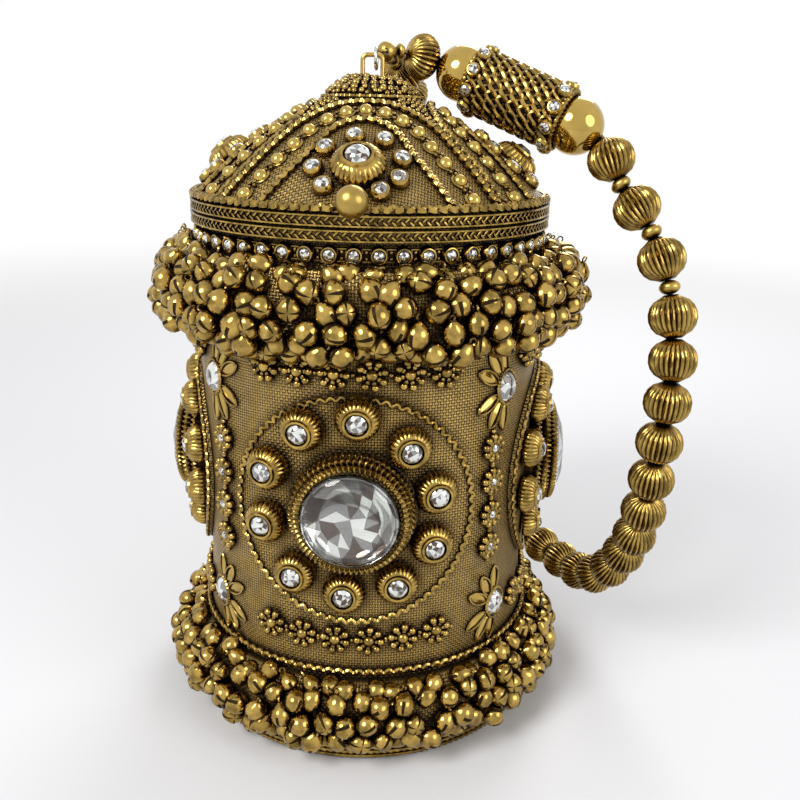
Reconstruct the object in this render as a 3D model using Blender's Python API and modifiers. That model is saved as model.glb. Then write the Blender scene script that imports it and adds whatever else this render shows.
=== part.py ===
"""Beaded evening clutch: a stiff drum and domed lid covered in gold tissue, with bell
fringes, stone medallions and a beaded loop handle hung from a bail on the lid's apex."""
import math

import bmesh
import bpy
from mathutils import Matrix, Vector

MM = 0.001
PART = "beaded_evening_clutch"

# Clearances and resolution
GAP = 0.35 * MM             # air between neighbouring pieces
SEGMENTS = 36               # sides of every large ring, so nested rings keep an even gap
FACES = 4                   # medallions round the drum, and sections of the lid

# Drum: a card tube on a board, lined inside and covered in padded tissue outside
BASE_R = 53.4 * MM
BASE_T = 4.3 * MM
WALL_R = 46.8 * MM          # outside of the card tube
WALL_T = 1.8 * MM
LINING_T = 0.6 * MM
SPLIT_Z = 149.3 * MM        # middle of the seam between drum and lid
SEAM = 0.4 * MM
RIM_H = 3.1 * MM            # height of each braid along the seam
RIM_R = 51.6 * MM           # outside of the two rim braids
BRAID_T = 1.6 * MM
COVER_TOP_Z = 145.6 * MM
COVER_FOOT_R = 52.2 * MM
COVER_HEM_R = 50.8 * MM
COVER_NECK_R = 48.3 * MM    # under the rim, where the chain of stones sits
COVER_CORNER = 1.2 * MM     # how far the corners between the faces stand out
COVER_FACE = 2.6 * MM       # how far each face is pulled in at mid height
HEM_Z = 27.0 * MM
SHOULDER_Z = 112.0 * MM
NECK_Z = 136.0 * MM

# Trims of the drum
HEM_CORD_R = 0.8 * MM
BASE_BRAID_T = 1.55 * MM     # how far the braid round the board stands out of it
BASE_BRAID_H = 4.4 * MM
CHAIN_Z = 142.8 * MM
CHAIN_STONES = 52
CHAIN_CUP_R = 2.1 * MM
CHAIN_CUP_H = 1.3 * MM
CHAIN_BAND_T = 0.6 * MM
FRINGE_BELLS = 30           # bells in one row of a fringe
BELL_BUMP = 1.5 * MM        # how far the bells stand out of a fringe's mass
UPPER_FRINGE_TOP_Z = 140.6 * MM
UPPER_FRINGE_R = 63.6 * MM
UPPER_FRINGE_H = 23.6 * MM
LOWER_FRINGE_TOP_Z = 25.6 * MM
LOWER_FRINGE_R = 63.2 * MM
LOWER_FRINGE_H = 20.2 * MM

# Medallions
PATCH_Z = 75.0 * MM
PATCH_R = 33.4 * MM
SIDE_PATCH_R = 31.0 * MM    # the medallions on the two sides are a little smaller
PATCH_T = 0.9 * MM
PATCH_GAP = 0.6 * MM        # wider, as the flat facets of patch and cover don't meet
PATCH_CORD_R = 0.7 * MM
PATCH_STEPS = 20
STUDS = 10
STUD_RING_R = 24.6 * MM
STUD_TURN = math.radians(3.0)
STUD_R = 5.9 * MM
STUD_H = 4.6 * MM
STUD_STONE_R = 2.7 * MM
STONE_R = 13.5 * MM
STONE_Z = 76.2 * MM
STONE_CROWN_H = 2.7 * MM
BEZEL_R = 16.7 * MM
BEZEL_H = 6.9 * MM
BEZEL_WALL = 1.3 * MM

# Sewn flowers, leaves and marquise stones
FLOWERS = 6
FLOWER_R = 3.4 * MM
FLOWER_H = 1.7 * MM
FLOWER_PITCH = math.radians(10.6)
TOP_FLOWER_Z = 113.6 * MM
BOTTOM_FLOWER_Z = 36.6 * MM
COLUMN_FLOWERS = 4
COLUMN_R = 3.2 * MM
COLUMN_TOP_Z = 90.0 * MM
COLUMN_PITCH = 9.9 * MM
MARQUISE_L = 10.6 * MM
MARQUISE_W = 6.4 * MM
MARQUISE_H = 2.6 * MM
MARQUISE_AZ = math.radians(50.5)
MARQUISE_TOP_Z = 106.4 * MM
MARQUISE_BOTTOM_Z = 40.0 * MM
LEAVES = 3
LEAF_L = 6.6 * MM
LEAF_W = 3.0 * MM
LEAF_H = 1.2 * MM

# Lid: the height of the cover falls from the apex with the radius to the power 1.5
LID_APEX_Z = 183.4 * MM
LID_EDGE_R = 50.6 * MM
LID_FALL = 30.1 * MM
LID_COVER_T = 1.2 * MM
LID_SHELL_T = 1.8 * MM
LID_LINING_T = 0.8 * MM
CABOCHON_R = 2.2 * MM
CABOCHON_H = 1.9 * MM
CABOCHONS = 9
ARCH_FOOT_X = 31.0 * MM
ARCH_FOOT_Y = 39.0 * MM
ARCH_TOP_Y = 20.0 * MM
LID_DOME_R = 6.6 * MM
LID_DOME_H = 4.6 * MM
LID_DOME_AT_R = 40.0 * MM
LID_STONE_R = 2.0 * MM
LID_STONE_H = 1.6 * MM
LID_STONES = 6
LID_STONE_RING_R = 10.4 * MM
CROWN_R = 12.6 * MM
CROWN_TOP_Z = 185.4 * MM
CROWN_LOBES = 12

# Bail, jump ring and shank
BAIL_Z = 191.0 * MM
BAIL_WIDTH = 5.6 * MM
BAIL_WIRE_R = 0.65 * MM
BAIL_PLATE_R = 3.9 * MM
BAIL_PLATE_T = 1.2 * MM
RING_R = 2.8 * MM
RING_WIRE_R = 0.45 * MM
RING_CENTRE = Vector((0.9, 1.2, 190.2)) * MM
SHANK_X = 3.4 * MM
SHANK_Z = 192.3 * MM
SHANK_START_Y = 3.8 * MM
SHANK_END_Y = 17.6 * MM
END_BALL_FRONT_Y = 7.3 * MM
END_BALL_BACK_Y = 14.0 * MM
END_BALL_R = 2.9 * MM

# Handle: melon beads and spacers on a stiff wire
WIRE_R = 0.6 * MM
MELON_R = 6.65 * MM
MELON_L = 11.9 * MM
SPACER_R = 2.9 * MM
SPACER_L = 4.0 * MM
BIG_BALL_R = 8.0 * MM
BARREL_R = 9.5 * MM
BARREL_L = 29.0 * MM
SMALL_SPACER_R = 2.2 * MM
SMALL_SPACER_L = 2.4 * MM
FIRST_MELON_L = 9.6 * MM
BALL_LEAD = 9.6 * MM        # straight wire out of each big ball, before the strand bends
BALL_AIR = 1.5 * MM
SPACED_MELONS = 3           # melon beads below the barrel that have a spacer after them
UPPER_ROUTE = (
    (3.4, 7.3, 192.3), (7.6, 10.0, 192.7), (13.6, 13.4, 191.2), (25.5, 12.3, 187.1),
)
LOWER_ROUTE = (
    (57.3, -0.5, 173.4), (66.2, -5.0, 163.4), (75.1, -10.9, 151.8), (81.8, -17.8, 138.6),
    (84.9, -22.7, 123.7), (85.5, -25.6, 111.8), (84.9, -26.6, 99.6), (84.0, -26.0, 87.3),
    (83.5, -24.2, 74.6), (83.3, -20.0, 62.2), (82.6, -13.2, 50.5), (80.9, -5.0, 39.6),
    (78.2, 3.6, 30.4), (74.0, 15.0, 24.0), (69.0, 28.0, 21.8), (61.0, 41.5, 22.6),
    (50.0, 54.5, 26.0), (36.0, 66.0, 32.0), (18.0, 74.0, 42.0), (4.5, 78.0, 58.0),
    (-1.5, 79.0, 80.0), (-2.0, 79.0, 105.0), (0.0, 77.5, 126.0), (2.0, 73.5, 144.0),
    (4.2, 65.0, 158.5), (6.3, 53.0, 169.5), (8.2, 38.0, 180.0), (8.9, 30.0, 184.4),
    (6.4, 21.0, 188.4), (3.4, 14.0, 192.3),
)

# Hinge at the back of the rim
HINGE_Y = 53.7 * MM
KNUCKLE_R = 1.75 * MM
HINGE_BORE_R = 1.0 * MM
HINGE_PIN_R = 0.7 * MM
HINGE_HALF = 8.0 * MM
HINGE_MIDDLE = 2.5 * MM
LEAF_PLATE_T = 0.7 * MM
DRUM_LEAF_DROP = 6.6 * MM
LID_LEAF_RISE = 5.4 * MM

# Clasp at the front of the rim
CLASP_Z = 156.0 * MM
CLASP_BALL_Y = -55.6 * MM
CLASP_BALL_R = 3.9 * MM
STEM_R = 1.0 * MM
STEM_END_Y = -39.4 * MM
BUSHING_R = 2.3 * MM
BUSHING_OUT_Y = -49.2 * MM
BUSHING_IN_Y = -40.2 * MM
TONGUE_W = 4.0 * MM
TONGUE_T = 0.7 * MM
NOSE_TIP_Y = -43.0 * MM
NOSE_Z = 147.0 * MM
KEEPER_W = 6.0 * MM
KEEPER_IN_Y = -43.35 * MM

GOLD = (0.56, 0.40, 0.13)
PALE_GOLD = (0.66, 0.50, 0.20)
TISSUE = (0.34, 0.25, 0.09)
GLASS = (0.86, 0.90, 0.90)


def clear_scene():
    for thing in list(bpy.data.objects):
        bpy.data.objects.remove(thing, do_unlink=True)


def new_collection(name):
    collection = bpy.data.collections.new(name)
    bpy.context.scene.collection.children.link(collection)
    return collection


clear_scene()
PARTS = new_collection(PART)
CUTTERS = new_collection("cutters")


def material(name, colour, roughness=0.32, metallic=1.0):
    made = bpy.data.materials.new(name)
    made.use_nodes = True
    shader = made.node_tree.nodes["Principled BSDF"]
    shader.inputs["Base Color"].default_value = (*colour, 1.0)
    shader.inputs["Roughness"].default_value = roughness
    shader.inputs["Metallic"].default_value = metallic
    made.diffuse_color = (*colour, 1.0)
    return made


def add_object(name, data, colour, parent=None, roughness=0.32, metallic=1.0, cutter=False):
    """Link a mesh or curve as one named sub-part, or as a cutter that isn't shown."""
    thing = bpy.data.objects.new(name, data)
    if cutter:
        CUTTERS.objects.link(thing)
        thing.hide_render = True
        thing.display_type = "WIRE"
        return thing
    PARTS.objects.link(thing)
    data.materials.append(material(name, colour, roughness, metallic))
    if parent is not None:
        thing.parent = parent
        thing.matrix_parent_inverse = parent.matrix_world.inverted()
    return thing


def mesh_from(bm, name, smooth_angle=35.0):
    bmesh.ops.recalc_face_normals(bm, faces=bm.faces)
    mesh = bpy.data.meshes.new(name)
    bm.to_mesh(mesh)
    bm.free()
    mesh.shade_smooth()
    mesh.set_sharp_from_angle(angle=math.radians(smooth_angle))
    return mesh


def joint_empty(name, place, parent=None):
    """An empty on a joint's axis, which carries the pieces that move with it."""
    empty = bpy.data.objects.new(name, None)
    empty.empty_display_size = 0.01
    PARTS.objects.link(empty)
    empty.location = place
    bpy.context.view_layer.update()
    if parent is not None:
        empty.parent = parent
        empty.matrix_parent_inverse = parent.matrix_world.inverted()
        bpy.context.view_layer.update()
    return empty


def turned(name, outline, colour, parent=None, segments=SEGMENTS, place=None, ring=True, **look):
    """Turn an outline of (radius, height) about Z: outer side downwards, inner side upwards."""
    bm = bmesh.new()
    points = [bm.verts.new((radius, 0.0, height)) for radius, height in outline]
    for first, second in zip(points, points[1:]):
        bm.edges.new((first, second))
    if ring:
        bm.edges.new((points[-1], points[0]))
    mesh = bpy.data.meshes.new(name)
    bm.to_mesh(mesh)
    bm.free()
    thing = add_object(name, mesh, colour, parent, **look)
    if place is not None:
        thing.matrix_world = place
    screw = thing.modifiers.new("turn", "SCREW")
    screw.steps = segments
    screw.render_steps = segments
    screw.use_merge_vertices = True
    screw.merge_threshold = 0.00001
    screw.use_smooth_shade = True
    return thing


def lofted_ring(section, segments=SEGMENTS):
    """A closed ring through unlike sections; section(azimuth) gives the outline's (radius, z)."""
    bm = bmesh.new()
    rings = []
    for step in range(segments):
        azimuth = 2 * math.pi * step / segments
        rings.append([bm.verts.new(on_azimuth(azimuth, radius, z)) for radius, z in section(azimuth)])
    count = len(rings[0])
    for step in range(segments):
        here = rings[step]
        there = rings[(step + 1) % segments]
        for index in range(count):
            after = (index + 1) % count
            bm.faces.new((here[index], here[after], there[after], there[index]))
    return bm


def on_azimuth(azimuth, radius, z):
    """Azimuth 0 is the front, -Y, and grows towards +X."""
    return Vector((radius * math.sin(azimuth), -radius * math.cos(azimuth), z))


def blend(value, stops):
    """Straight-line reading of a list of (at, value) stops."""
    if value <= stops[0][0]:
        return stops[0][1]
    for (low, first), (high, second) in zip(stops, stops[1:]):
        if value <= high:
            return first + (second - first) * (value - low) / (high - low)
    return stops[-1][1]


def cover_radius(azimuth, z):
    """Outside of the tissue: round at hem and neck, pulled in on the four faces between."""
    stops = ((BASE_T, COVER_FOOT_R), (HEM_Z, COVER_HEM_R), (SHOULDER_Z, COVER_HEM_R),
             (NECK_Z, COVER_NECK_R), (COVER_TOP_Z, COVER_NECK_R))
    radius = blend(z, stops)
    if HEM_Z < z < SHOULDER_Z:
        waist = math.sin(math.pi * (z - HEM_Z) / (SHOULDER_Z - HEM_Z))
        facing = 0.5 + 0.5 * math.cos(FACES * azimuth)
        radius += waist * (COVER_CORNER * (1 - facing) - COVER_FACE * facing)
    return radius


def lid_height(radius, drop=0.0):
    return LID_APEX_Z - LID_FALL * (max(radius, 0.0) / LID_EDGE_R) ** 1.5 - drop


def lid_radius(z, drop=0.0):
    """Radius at which a layer of the lid, drop below the cover's outside, is at height z."""
    return LID_EDGE_R * ((LID_APEX_Z - drop - z) / LID_FALL) ** (2.0 / 3.0)


def drum_frame(azimuth, z, radius):
    """Place on the drum's side: local X along it, Y up, Z straight out."""
    along = Vector((math.cos(azimuth), math.sin(azimuth), 0.0))
    out = on_azimuth(azimuth, 1.0, 0.0)
    frame = Matrix((along, Vector((0.0, 0.0, 1.0)), out)).transposed().to_4x4()
    frame.translation = on_azimuth(azimuth, radius, z)
    return frame


def cover_frame(azimuth, z, lift=0.0):
    """Place on the tissue: local Z along its own normal, local X level."""
    step = 0.01
    centre = on_azimuth(azimuth, cover_radius(azimuth, z), z)
    after = on_azimuth(azimuth + step, cover_radius(azimuth + step, z), z)
    before = on_azimuth(azimuth - step, cover_radius(azimuth - step, z), z)
    along = (after - before).normalized()
    out = along.cross(Vector((0.0, 0.0, 1.0)))
    frame = Matrix((along, Vector((0.0, 0.0, 1.0)), out)).transposed().to_4x4()
    frame.translation = centre + out * lift
    return frame


def lid_frame(azimuth, radius, lift=0.0):
    """Place on the lid: local X along it, Y up the slope, Z out of the surface."""
    slope = 1.5 * LID_FALL / LID_EDGE_R * math.sqrt(radius / LID_EDGE_R)
    out = (on_azimuth(azimuth, slope, 1.0)).normalized()
    along = Vector((math.cos(azimuth), math.sin(azimuth), 0.0))
    frame = Matrix((along, out.cross(along), out)).transposed().to_4x4()
    frame.translation = on_azimuth(azimuth, radius, lid_height(radius)) + out * lift
    return frame


def add_cone(bm, frame, low_r, high_r, height, sides=6, sunk=0.5 * MM):
    """A capped cone whose foot is sunk below local Z = 0, so that it joins its carrier."""
    middle = Matrix.Translation((0.0, 0.0, (height - sunk) / 2))
    bmesh.ops.create_cone(bm, cap_ends=True, cap_tris=False, segments=sides, radius1=low_r,
                          radius2=high_r, depth=height + sunk, matrix=frame @ middle)


def add_gem(bm, frame, length, width, height, sides=6, top=0.45, sunk=0.6 * MM):
    """A long, low stone or leaf: a capped cone stretched along local Y."""
    stretch = Matrix.Diagonal((width / length, 1.0, 1.0, 1.0))
    add_cone(bm, frame @ stretch, length / 2, top * length / 2, height, sides, sunk)


def modify_boolean(thing, bm, operation):
    """Join or cut with a hidden mesh, kept in the cutters' collection."""
    name = f"{thing.name}_{operation.lower()}"
    cutter = add_object(name, mesh_from(bm, name), GOLD, cutter=True)
    modifier = thing.modifiers.new(operation.lower(), "BOOLEAN")
    modifier.operation = operation
    modifier.object = cutter
    modifier.solver = "EXACT"


def add_box(bm, low, high):
    low = Vector(low)
    high = Vector(high)
    size = high - low
    place = Matrix.Translation((low + high) / 2) @ Matrix.Diagonal((*size, 1.0))
    bmesh.ops.create_cube(bm, size=1.0, matrix=place)


def add_rod(bm, start, end, radius, sides=12):
    start = Vector(start)
    run = Vector(end) - start
    place = Matrix.Translation(start + run / 2) @ run.to_track_quat("Z", "Y").to_matrix().to_4x4()
    bmesh.ops.create_cone(bm, cap_ends=True, cap_tris=False, segments=sides, radius1=radius,
                          radius2=radius, depth=run.length, matrix=place)


def wire(name, points, radius, colour, parent=None, cyclic=False, radii=None, **look):
    """A round wire on a chain of points; radii scales it point by point."""
    curve = bpy.data.curves.new(name, "CURVE")
    curve.dimensions = "3D"
    curve.bevel_depth = radius
    curve.bevel_resolution = 2
    curve.use_fill_caps = not cyclic
    spline = curve.splines.new("POLY")
    spline.points.add(len(points) - 1)
    for index, (target, point) in enumerate(zip(spline.points, points)):
        target.co = (*point, 1.0)
        target.radius = 1.0 if radii is None else radii[index]
    spline.use_cyclic_u = cyclic
    spline.use_smooth = True
    return add_object(name, curve, colour, parent, **look)


# Drum
def build_base_and_walls():
    turned("base_board", [(0.0, BASE_T), (BASE_R, BASE_T), (BASE_R, 0.0), (0.0, 0.0)],
           TISSUE, ring=False, roughness=0.6, metallic=0.3)
    low = 0.3 * MM
    high = low + BASE_BRAID_H
    inner = BASE_R + GAP
    outer = inner + BASE_BRAID_T
    turned("base_braid", [(outer, high), (outer, low), (inner, low), (inner, high)],
           GOLD)
    foot = BASE_T + GAP
    top = RIM_BOTTOM_Z - RIM_TUBE_H - GAP
    turned("drum_wall", [(WALL_R, top), (WALL_R, foot), (WALL_R - WALL_T, foot),
                         (WALL_R - WALL_T, top)], (0.3, 0.22, 0.12), roughness=0.8, metallic=0.0)
    outer = WALL_R - WALL_T - GAP
    inner = outer - LINING_T
    lining_top = RIM_BOTTOM_Z - GAP
    turned("drum_lining", [(0.0, foot + LINING_T), (inner, foot + LINING_T), (inner, lining_top),
                           (outer, lining_top), (outer, foot), (0.0, foot)], (0.30, 0.20, 0.08),
           ring=False, roughness=0.7, metallic=0.0)


RIM_BOTTOM_Z = SPLIT_Z - SEAM / 2 - RIM_H
RIM_TUBE_H = 2.8 * MM       # how far the rim frame reaches down onto the card tube
FLANGE_R = RIM_R - BRAID_T - GAP


def build_drum_rim():
    top = SPLIT_Z - SEAM / 2
    inner = WALL_R - WALL_T
    turned("drum_rim_frame", [(FLANGE_R, top), (FLANGE_R, RIM_BOTTOM_Z), (WALL_R, RIM_BOTTOM_Z),
                              (WALL_R, RIM_BOTTOM_Z - RIM_TUBE_H),
                              (inner, RIM_BOTTOM_Z - RIM_TUBE_H), (inner, top)], GOLD)
    braid("drum_rim_braid", RIM_BOTTOM_Z, top)


def braid(name, low, high, parent=None):
    inner = RIM_R - BRAID_T
    turned(name, [(RIM_R, high), (RIM_R, low), (inner, low), (inner, high)], PALE_GOLD, parent)


def build_cover():
    """The padded tissue skin with its sewn flowers, leaves, marquise stones and columns."""
    inner = WALL_R + GAP
    top = RIM_BOTTOM_Z - GAP
    foot = BASE_T + GAP
    waist_rows = 4
    heights = [top, NECK_Z]
    for row in range(waist_rows + 1):
        heights.append(SHOULDER_Z + (HEM_Z - SHOULDER_Z) * row / waist_rows)
    heights.append(foot)

    def section(azimuth):
        outline = [(cover_radius(azimuth, z), z) for z in heights]
        return outline + [(inner, foot), (inner, top)]

    cover = add_object("drum_cover", mesh_from(lofted_ring(section), "drum_cover"), TISSUE,
                       roughness=0.45, metallic=0.7)
    trims = bmesh.new()
    for face in range(FACES):
        middle = 2 * math.pi * face / FACES
        for index in range(FLOWERS):
            azimuth = middle + (index - (FLOWERS - 1) / 2) * FLOWER_PITCH
            for z in (TOP_FLOWER_Z, BOTTOM_FLOWER_Z):
                frame = cover_frame(azimuth, z)
                add_cone(trims, frame, FLOWER_R, FLOWER_R * 0.45, FLOWER_H, 5)
        corner = middle + math.pi / FACES
        for index in range(COLUMN_FLOWERS):
            z = COLUMN_TOP_Z - index * COLUMN_PITCH
            frame = cover_frame(corner, z)
            add_cone(trims, frame, COLUMN_R, COLUMN_R * 0.5, FLOWER_H, 5)
        for z, up in ((MARQUISE_TOP_Z, 1.0), (MARQUISE_BOTTOM_Z, -1.0)):
            add_leaf_fan(trims, corner, z, up, 1.0 if face % 2 == 0 else -1.0)
    modify_boolean(cover, trims, "UNION")


def add_leaf_fan(bm, corner, z, up, side):
    """A marquise stone beside a corner, and a fan of leaves that opens away from it."""
    azimuth = corner + side * (MARQUISE_AZ - math.pi / FACES)
    frame = cover_frame(azimuth, z)
    add_gem(bm, frame, MARQUISE_L, MARQUISE_W, MARQUISE_H, sides=6)
    heart = corner - side * math.radians(3.2)
    for leaf in range(LEAVES):
        angle = math.radians(-58.0 + 58.0 * leaf)
        reach = LEAF_L * 0.5 + 2.0 * MM
        leaf_az = heart - side * reach * math.cos(angle) / COVER_HEM_R
        leaf_z = z - up * 1.0 * MM + reach * math.sin(angle)
        place = cover_frame(leaf_az, leaf_z)
        turn = Matrix.Rotation(side * (math.pi / 2 - angle), 4, "Z")
        add_gem(bm, place @ turn, LEAF_L, LEAF_W, LEAF_H, sides=4, top=0.3)


def build_hem_cord_and_chain():
    hem_radius = cover_radius(0.0, HEM_Z) + GAP + HEM_CORD_R
    sides = 5
    section = []
    for side in range(sides):
        turn = math.pi / 2 - 2 * math.pi * (side + 0.5) / sides
        section.append((hem_radius + HEM_CORD_R * math.cos(turn), HEM_Z + HEM_CORD_R * math.sin(turn)))
    turned("hem_cord", section, PALE_GOLD)

    inner = COVER_NECK_R + GAP

    def cup_section(azimuth):
        facing = 0.5 + 0.5 * math.cos(CHAIN_STONES * azimuth)
        outer = inner + CHAIN_BAND_T + CHAIN_CUP_H * facing
        half = CHAIN_CUP_R * (0.7 + 0.3 * facing)
        table = half * 0.5
        return [(inner + CHAIN_BAND_T, CHAIN_Z + half), (outer, CHAIN_Z + table),
                (outer, CHAIN_Z - table), (inner + CHAIN_BAND_T, CHAIN_Z - half),
                (inner, CHAIN_Z)]

    add_object("cup_chain", mesh_from(lofted_ring(cup_section, CHAIN_STONES * 2), "cup_chain"),
               PALE_GOLD)


def fringe(name, top, height, reach):
    """The bells of a fringe and the tapes they are sewn to, as one knobbly ring."""
    rows = (0.02, 0.22, 0.46, 0.70, 0.90, 1.0)
    swell = (0.30, 0.66, 1.0, 1.0, 0.78, 0.30)

    def section(azimuth):
        outline = []
        for row, (down, out) in enumerate(zip(rows, swell)):
            z = top - height * down
            start = cover_radius(azimuth, z) + GAP
            wave = math.cos(FRINGE_BELLS * azimuth + math.pi * row)
            knob = 0.0 if row in (0, len(rows) - 1) else BELL_BUMP * wave
            outline.append((start + (reach - COVER_HEM_R) * out + knob, z))
        low = top - height
        high = top - height * rows[0]
        back = [low] + [z for z in (NECK_Z, ) if low < z < high] + [high]
        return outline + [(cover_radius(azimuth, z) + GAP, z) for z in back]

    add_object(name, mesh_from(lofted_ring(section, FRINGE_BELLS * 2), name), GOLD)


def build_medallion(face, name):
    """One appliqued disc with its ring of studs, then the big stone in its bezel."""
    middle = 2 * math.pi * face / FACES
    patch_r = PATCH_R if face % 2 == 0 else SIDE_PATCH_R
    scale = patch_r / PATCH_R
    seat = cover_radius(middle, STONE_Z) + PATCH_GAP + PATCH_T + 0.7 * MM
    rim = PATCH_T + 2 * PATCH_CORD_R
    bm = bmesh.new()

    def ring(radius, centre_z, lift):
        """Points round the disc: at a lift off the cover, or on the bezel's flat seat."""
        points = []
        for step in range(PATCH_STEPS):
            turn = 2 * math.pi * step / PATCH_STEPS
            azimuth = middle + radius * math.cos(turn) / COVER_HEM_R
            z = centre_z + radius * math.sin(turn)
            out = cover_radius(azimuth, z) + PATCH_GAP + (0.0 if lift is None else lift)
            place = on_azimuth(azimuth, out, z)
            if lift is None:
                facing = on_azimuth(middle, 1.0, 0.0)
                place += facing * (seat - place.dot(facing))
            points.append(bm.verts.new(place))
        return points

    front = [ring(patch_r, PATCH_Z, rim), ring(patch_r * 0.88, PATCH_Z, PATCH_T),
             ring(BEZEL_R + 1.2 * MM, STONE_Z, PATCH_T), ring(BEZEL_R + 0.2 * MM, STONE_Z, None)]
    back = [ring(patch_r * share, PATCH_Z, 0.0) for share in (1.0, 0.7, 0.35)]
    heart = bm.verts.new(on_azimuth(middle, cover_radius(middle, PATCH_Z) + PATCH_GAP, PATCH_Z))
    bm.faces.new(front[-1])
    for sheet in (front, back):
        for outer, inner in zip(sheet, sheet[1:]):
            for step in range(PATCH_STEPS):
                after = (step + 1) % PATCH_STEPS
                bm.faces.new((outer[step], outer[after], inner[after], inner[step]))
    for step in range(PATCH_STEPS):
        after = (step + 1) % PATCH_STEPS
        bm.faces.new((back[-1][step], back[-1][after], heart))
        bm.faces.new((front[0][step], back[0][step], back[0][after], front[0][after]))
    patch = add_object(f"medallion_patch_{name}", mesh_from(bm, "patch"), TISSUE,
                       roughness=0.45, metallic=0.8)

    studs = bmesh.new()
    for index in range(STUDS):
        turn = STUD_TURN + 2 * math.pi * index / STUDS
        azimuth = middle + scale * STUD_RING_R * math.sin(turn) / COVER_HEM_R
        z = STONE_Z + scale * STUD_RING_R * math.cos(turn)
        size = scale * STUD_R
        add_cone(studs, cover_frame(azimuth, z, PATCH_GAP + PATCH_T), size, STUD_STONE_R * 1.15,
                 STUD_H, 6, 0.5 * MM)
    modify_boolean(patch, studs, "UNION")

    back_z = seat + GAP
    place = drum_frame(middle, STONE_Z, back_z)
    cup = STONE_R + 0.5 * MM
    inner = cup - BEZEL_WALL
    turned(f"medallion_bezel_{name}", [(cup, BEZEL_H), (cup, 3.6 * MM), (BEZEL_R, 1.9 * MM),
                                       (BEZEL_R, 0.0), (inner, 0.0), (inner, BEZEL_H)],
           GOLD, segments=20, place=place)
    table = STONE_R * 0.6
    girdle = BEZEL_H + GAP
    turned(f"medallion_stone_{name}", [(0.0, girdle + STONE_CROWN_H), (table, girdle + STONE_CROWN_H),
                                       (STONE_R, girdle + 0.6 * MM), (STONE_R, girdle),
                                       (inner - GAP, girdle), (inner * 0.35, girdle - 4.2 * MM),
                                       (0.0, girdle - 4.2 * MM)],
           GLASS, segments=12, place=place, ring=False, roughness=0.05, metallic=0.0)


# Lid
def layer_outline(drop, thickness, foot_z, rows=4):
    """A layer of the lid from drop below the cover's outside, down to foot_z."""
    outer_r = lid_radius(foot_z, drop)
    outer_r = min(outer_r, LID_EDGE_R)
    inner_r = lid_radius(foot_z, drop + thickness)
    outer = [(outer_r * (row / rows) ** 0.8, 0.0) for row in range(rows + 1)]
    outer = [(radius, lid_height(radius, drop)) for radius, _ in outer]
    inner = [(inner_r * (row / rows) ** 0.8, 0.0) for row in range(rows, -1, -1)]
    inner = [(radius, lid_height(radius, drop + thickness)) for radius, _ in inner]
    return outer + inner


def clasp_hole(thing):
    hole = bmesh.new()
    add_rod(hole, (0.0, -60.0 * MM, CLASP_Z), (0.0, -35.0 * MM, CLASP_Z), BUSHING_R + GAP, 12)
    modify_boolean(thing, hole, "DIFFERENCE")


def build_lid(parent):
    foot = SPLIT_Z + SEAM / 2
    rim_top = foot + RIM_H
    inner = WALL_R - WALL_T
    turned("lid_rim_frame", [(FLANGE_R, rim_top), (FLANGE_R, foot), (inner, foot),
                             (inner, rim_top)], GOLD, parent)
    braid("lid_rim_braid", foot, rim_top, parent)
    seat = rim_top + GAP
    outline = layer_outline(0.0, LID_COVER_T, lid_height(LID_EDGE_R))
    inner_r = lid_radius(seat, LID_COVER_T)
    middle = len(outline) // 2
    outline = outline[:middle] + [(LID_EDGE_R, seat), (inner_r, seat)] + outline[middle + 1:]
    cover = turned("lid_cover", outline, TISSUE, parent, ring=False, roughness=0.45, metallic=0.7)
    trims = bmesh.new()
    add_lid_trims(trims)
    modify_boolean(cover, trims, "UNION")
    clasp_hole(cover)
    drop = LID_COVER_T + GAP * 1.3
    shell = turned("lid_shell", layer_outline(drop, LID_SHELL_T, seat), (0.3, 0.22, 0.12), parent,
                   ring=False, roughness=0.8, metallic=0.0)
    clasp_hole(shell)
    drop += LID_SHELL_T + GAP * 1.3
    outer_r = inner - GAP
    lining_foot = foot + 0.2 * MM
    outer = layer_outline(drop, LID_LINING_T, lid_height(outer_r - 0.3 * MM, drop))
    middle = len(outer) // 2
    skirt = [(outer_r - 0.3 * MM, lining_foot), (outer_r - 0.3 * MM - LINING_T, lining_foot)]
    lining = turned("lid_lining", outer[:middle] + skirt + outer[middle + 1:], (0.30, 0.20, 0.08),
                    parent, ring=False, roughness=0.7, metallic=0.0)
    clasp_hole(lining)
    for face, name in enumerate(("front", "right", "back", "left")):
        azimuth = 2 * math.pi * face / FACES
        size = LID_DOME_R
        place = lid_frame(azimuth, LID_DOME_AT_R, GAP)
        stone = 3.0 * MM
        turned(f"lid_dome_{name}", [(0.0, LID_DOME_H + 1.3 * MM), (stone * 0.6, LID_DOME_H + 1.3 * MM),
                                    (stone, LID_DOME_H + 0.3 * MM), (stone, LID_DOME_H - 0.6 * MM),
                                    (size * 0.72, LID_DOME_H - 0.8 * MM), (size * 0.98, LID_DOME_H * 0.4),
                                    (size * 0.9, 0.0), (0.0, 0.0)],
               GOLD, parent, segments=12, place=place, ring=False)
    build_crown(parent)


def arch_point(share, inset=0.0):
    """A point of a section's arch, as (across, out) from the lid's axis; share runs 0 to 1."""
    sweep = math.pi * share
    across = -(ARCH_FOOT_X - inset) * math.cos(sweep)
    lean = abs(math.cos(sweep)) ** 1.25
    out = ARCH_TOP_Y + inset + (ARCH_FOOT_Y - ARCH_TOP_Y) * lean
    return across, out


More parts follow.
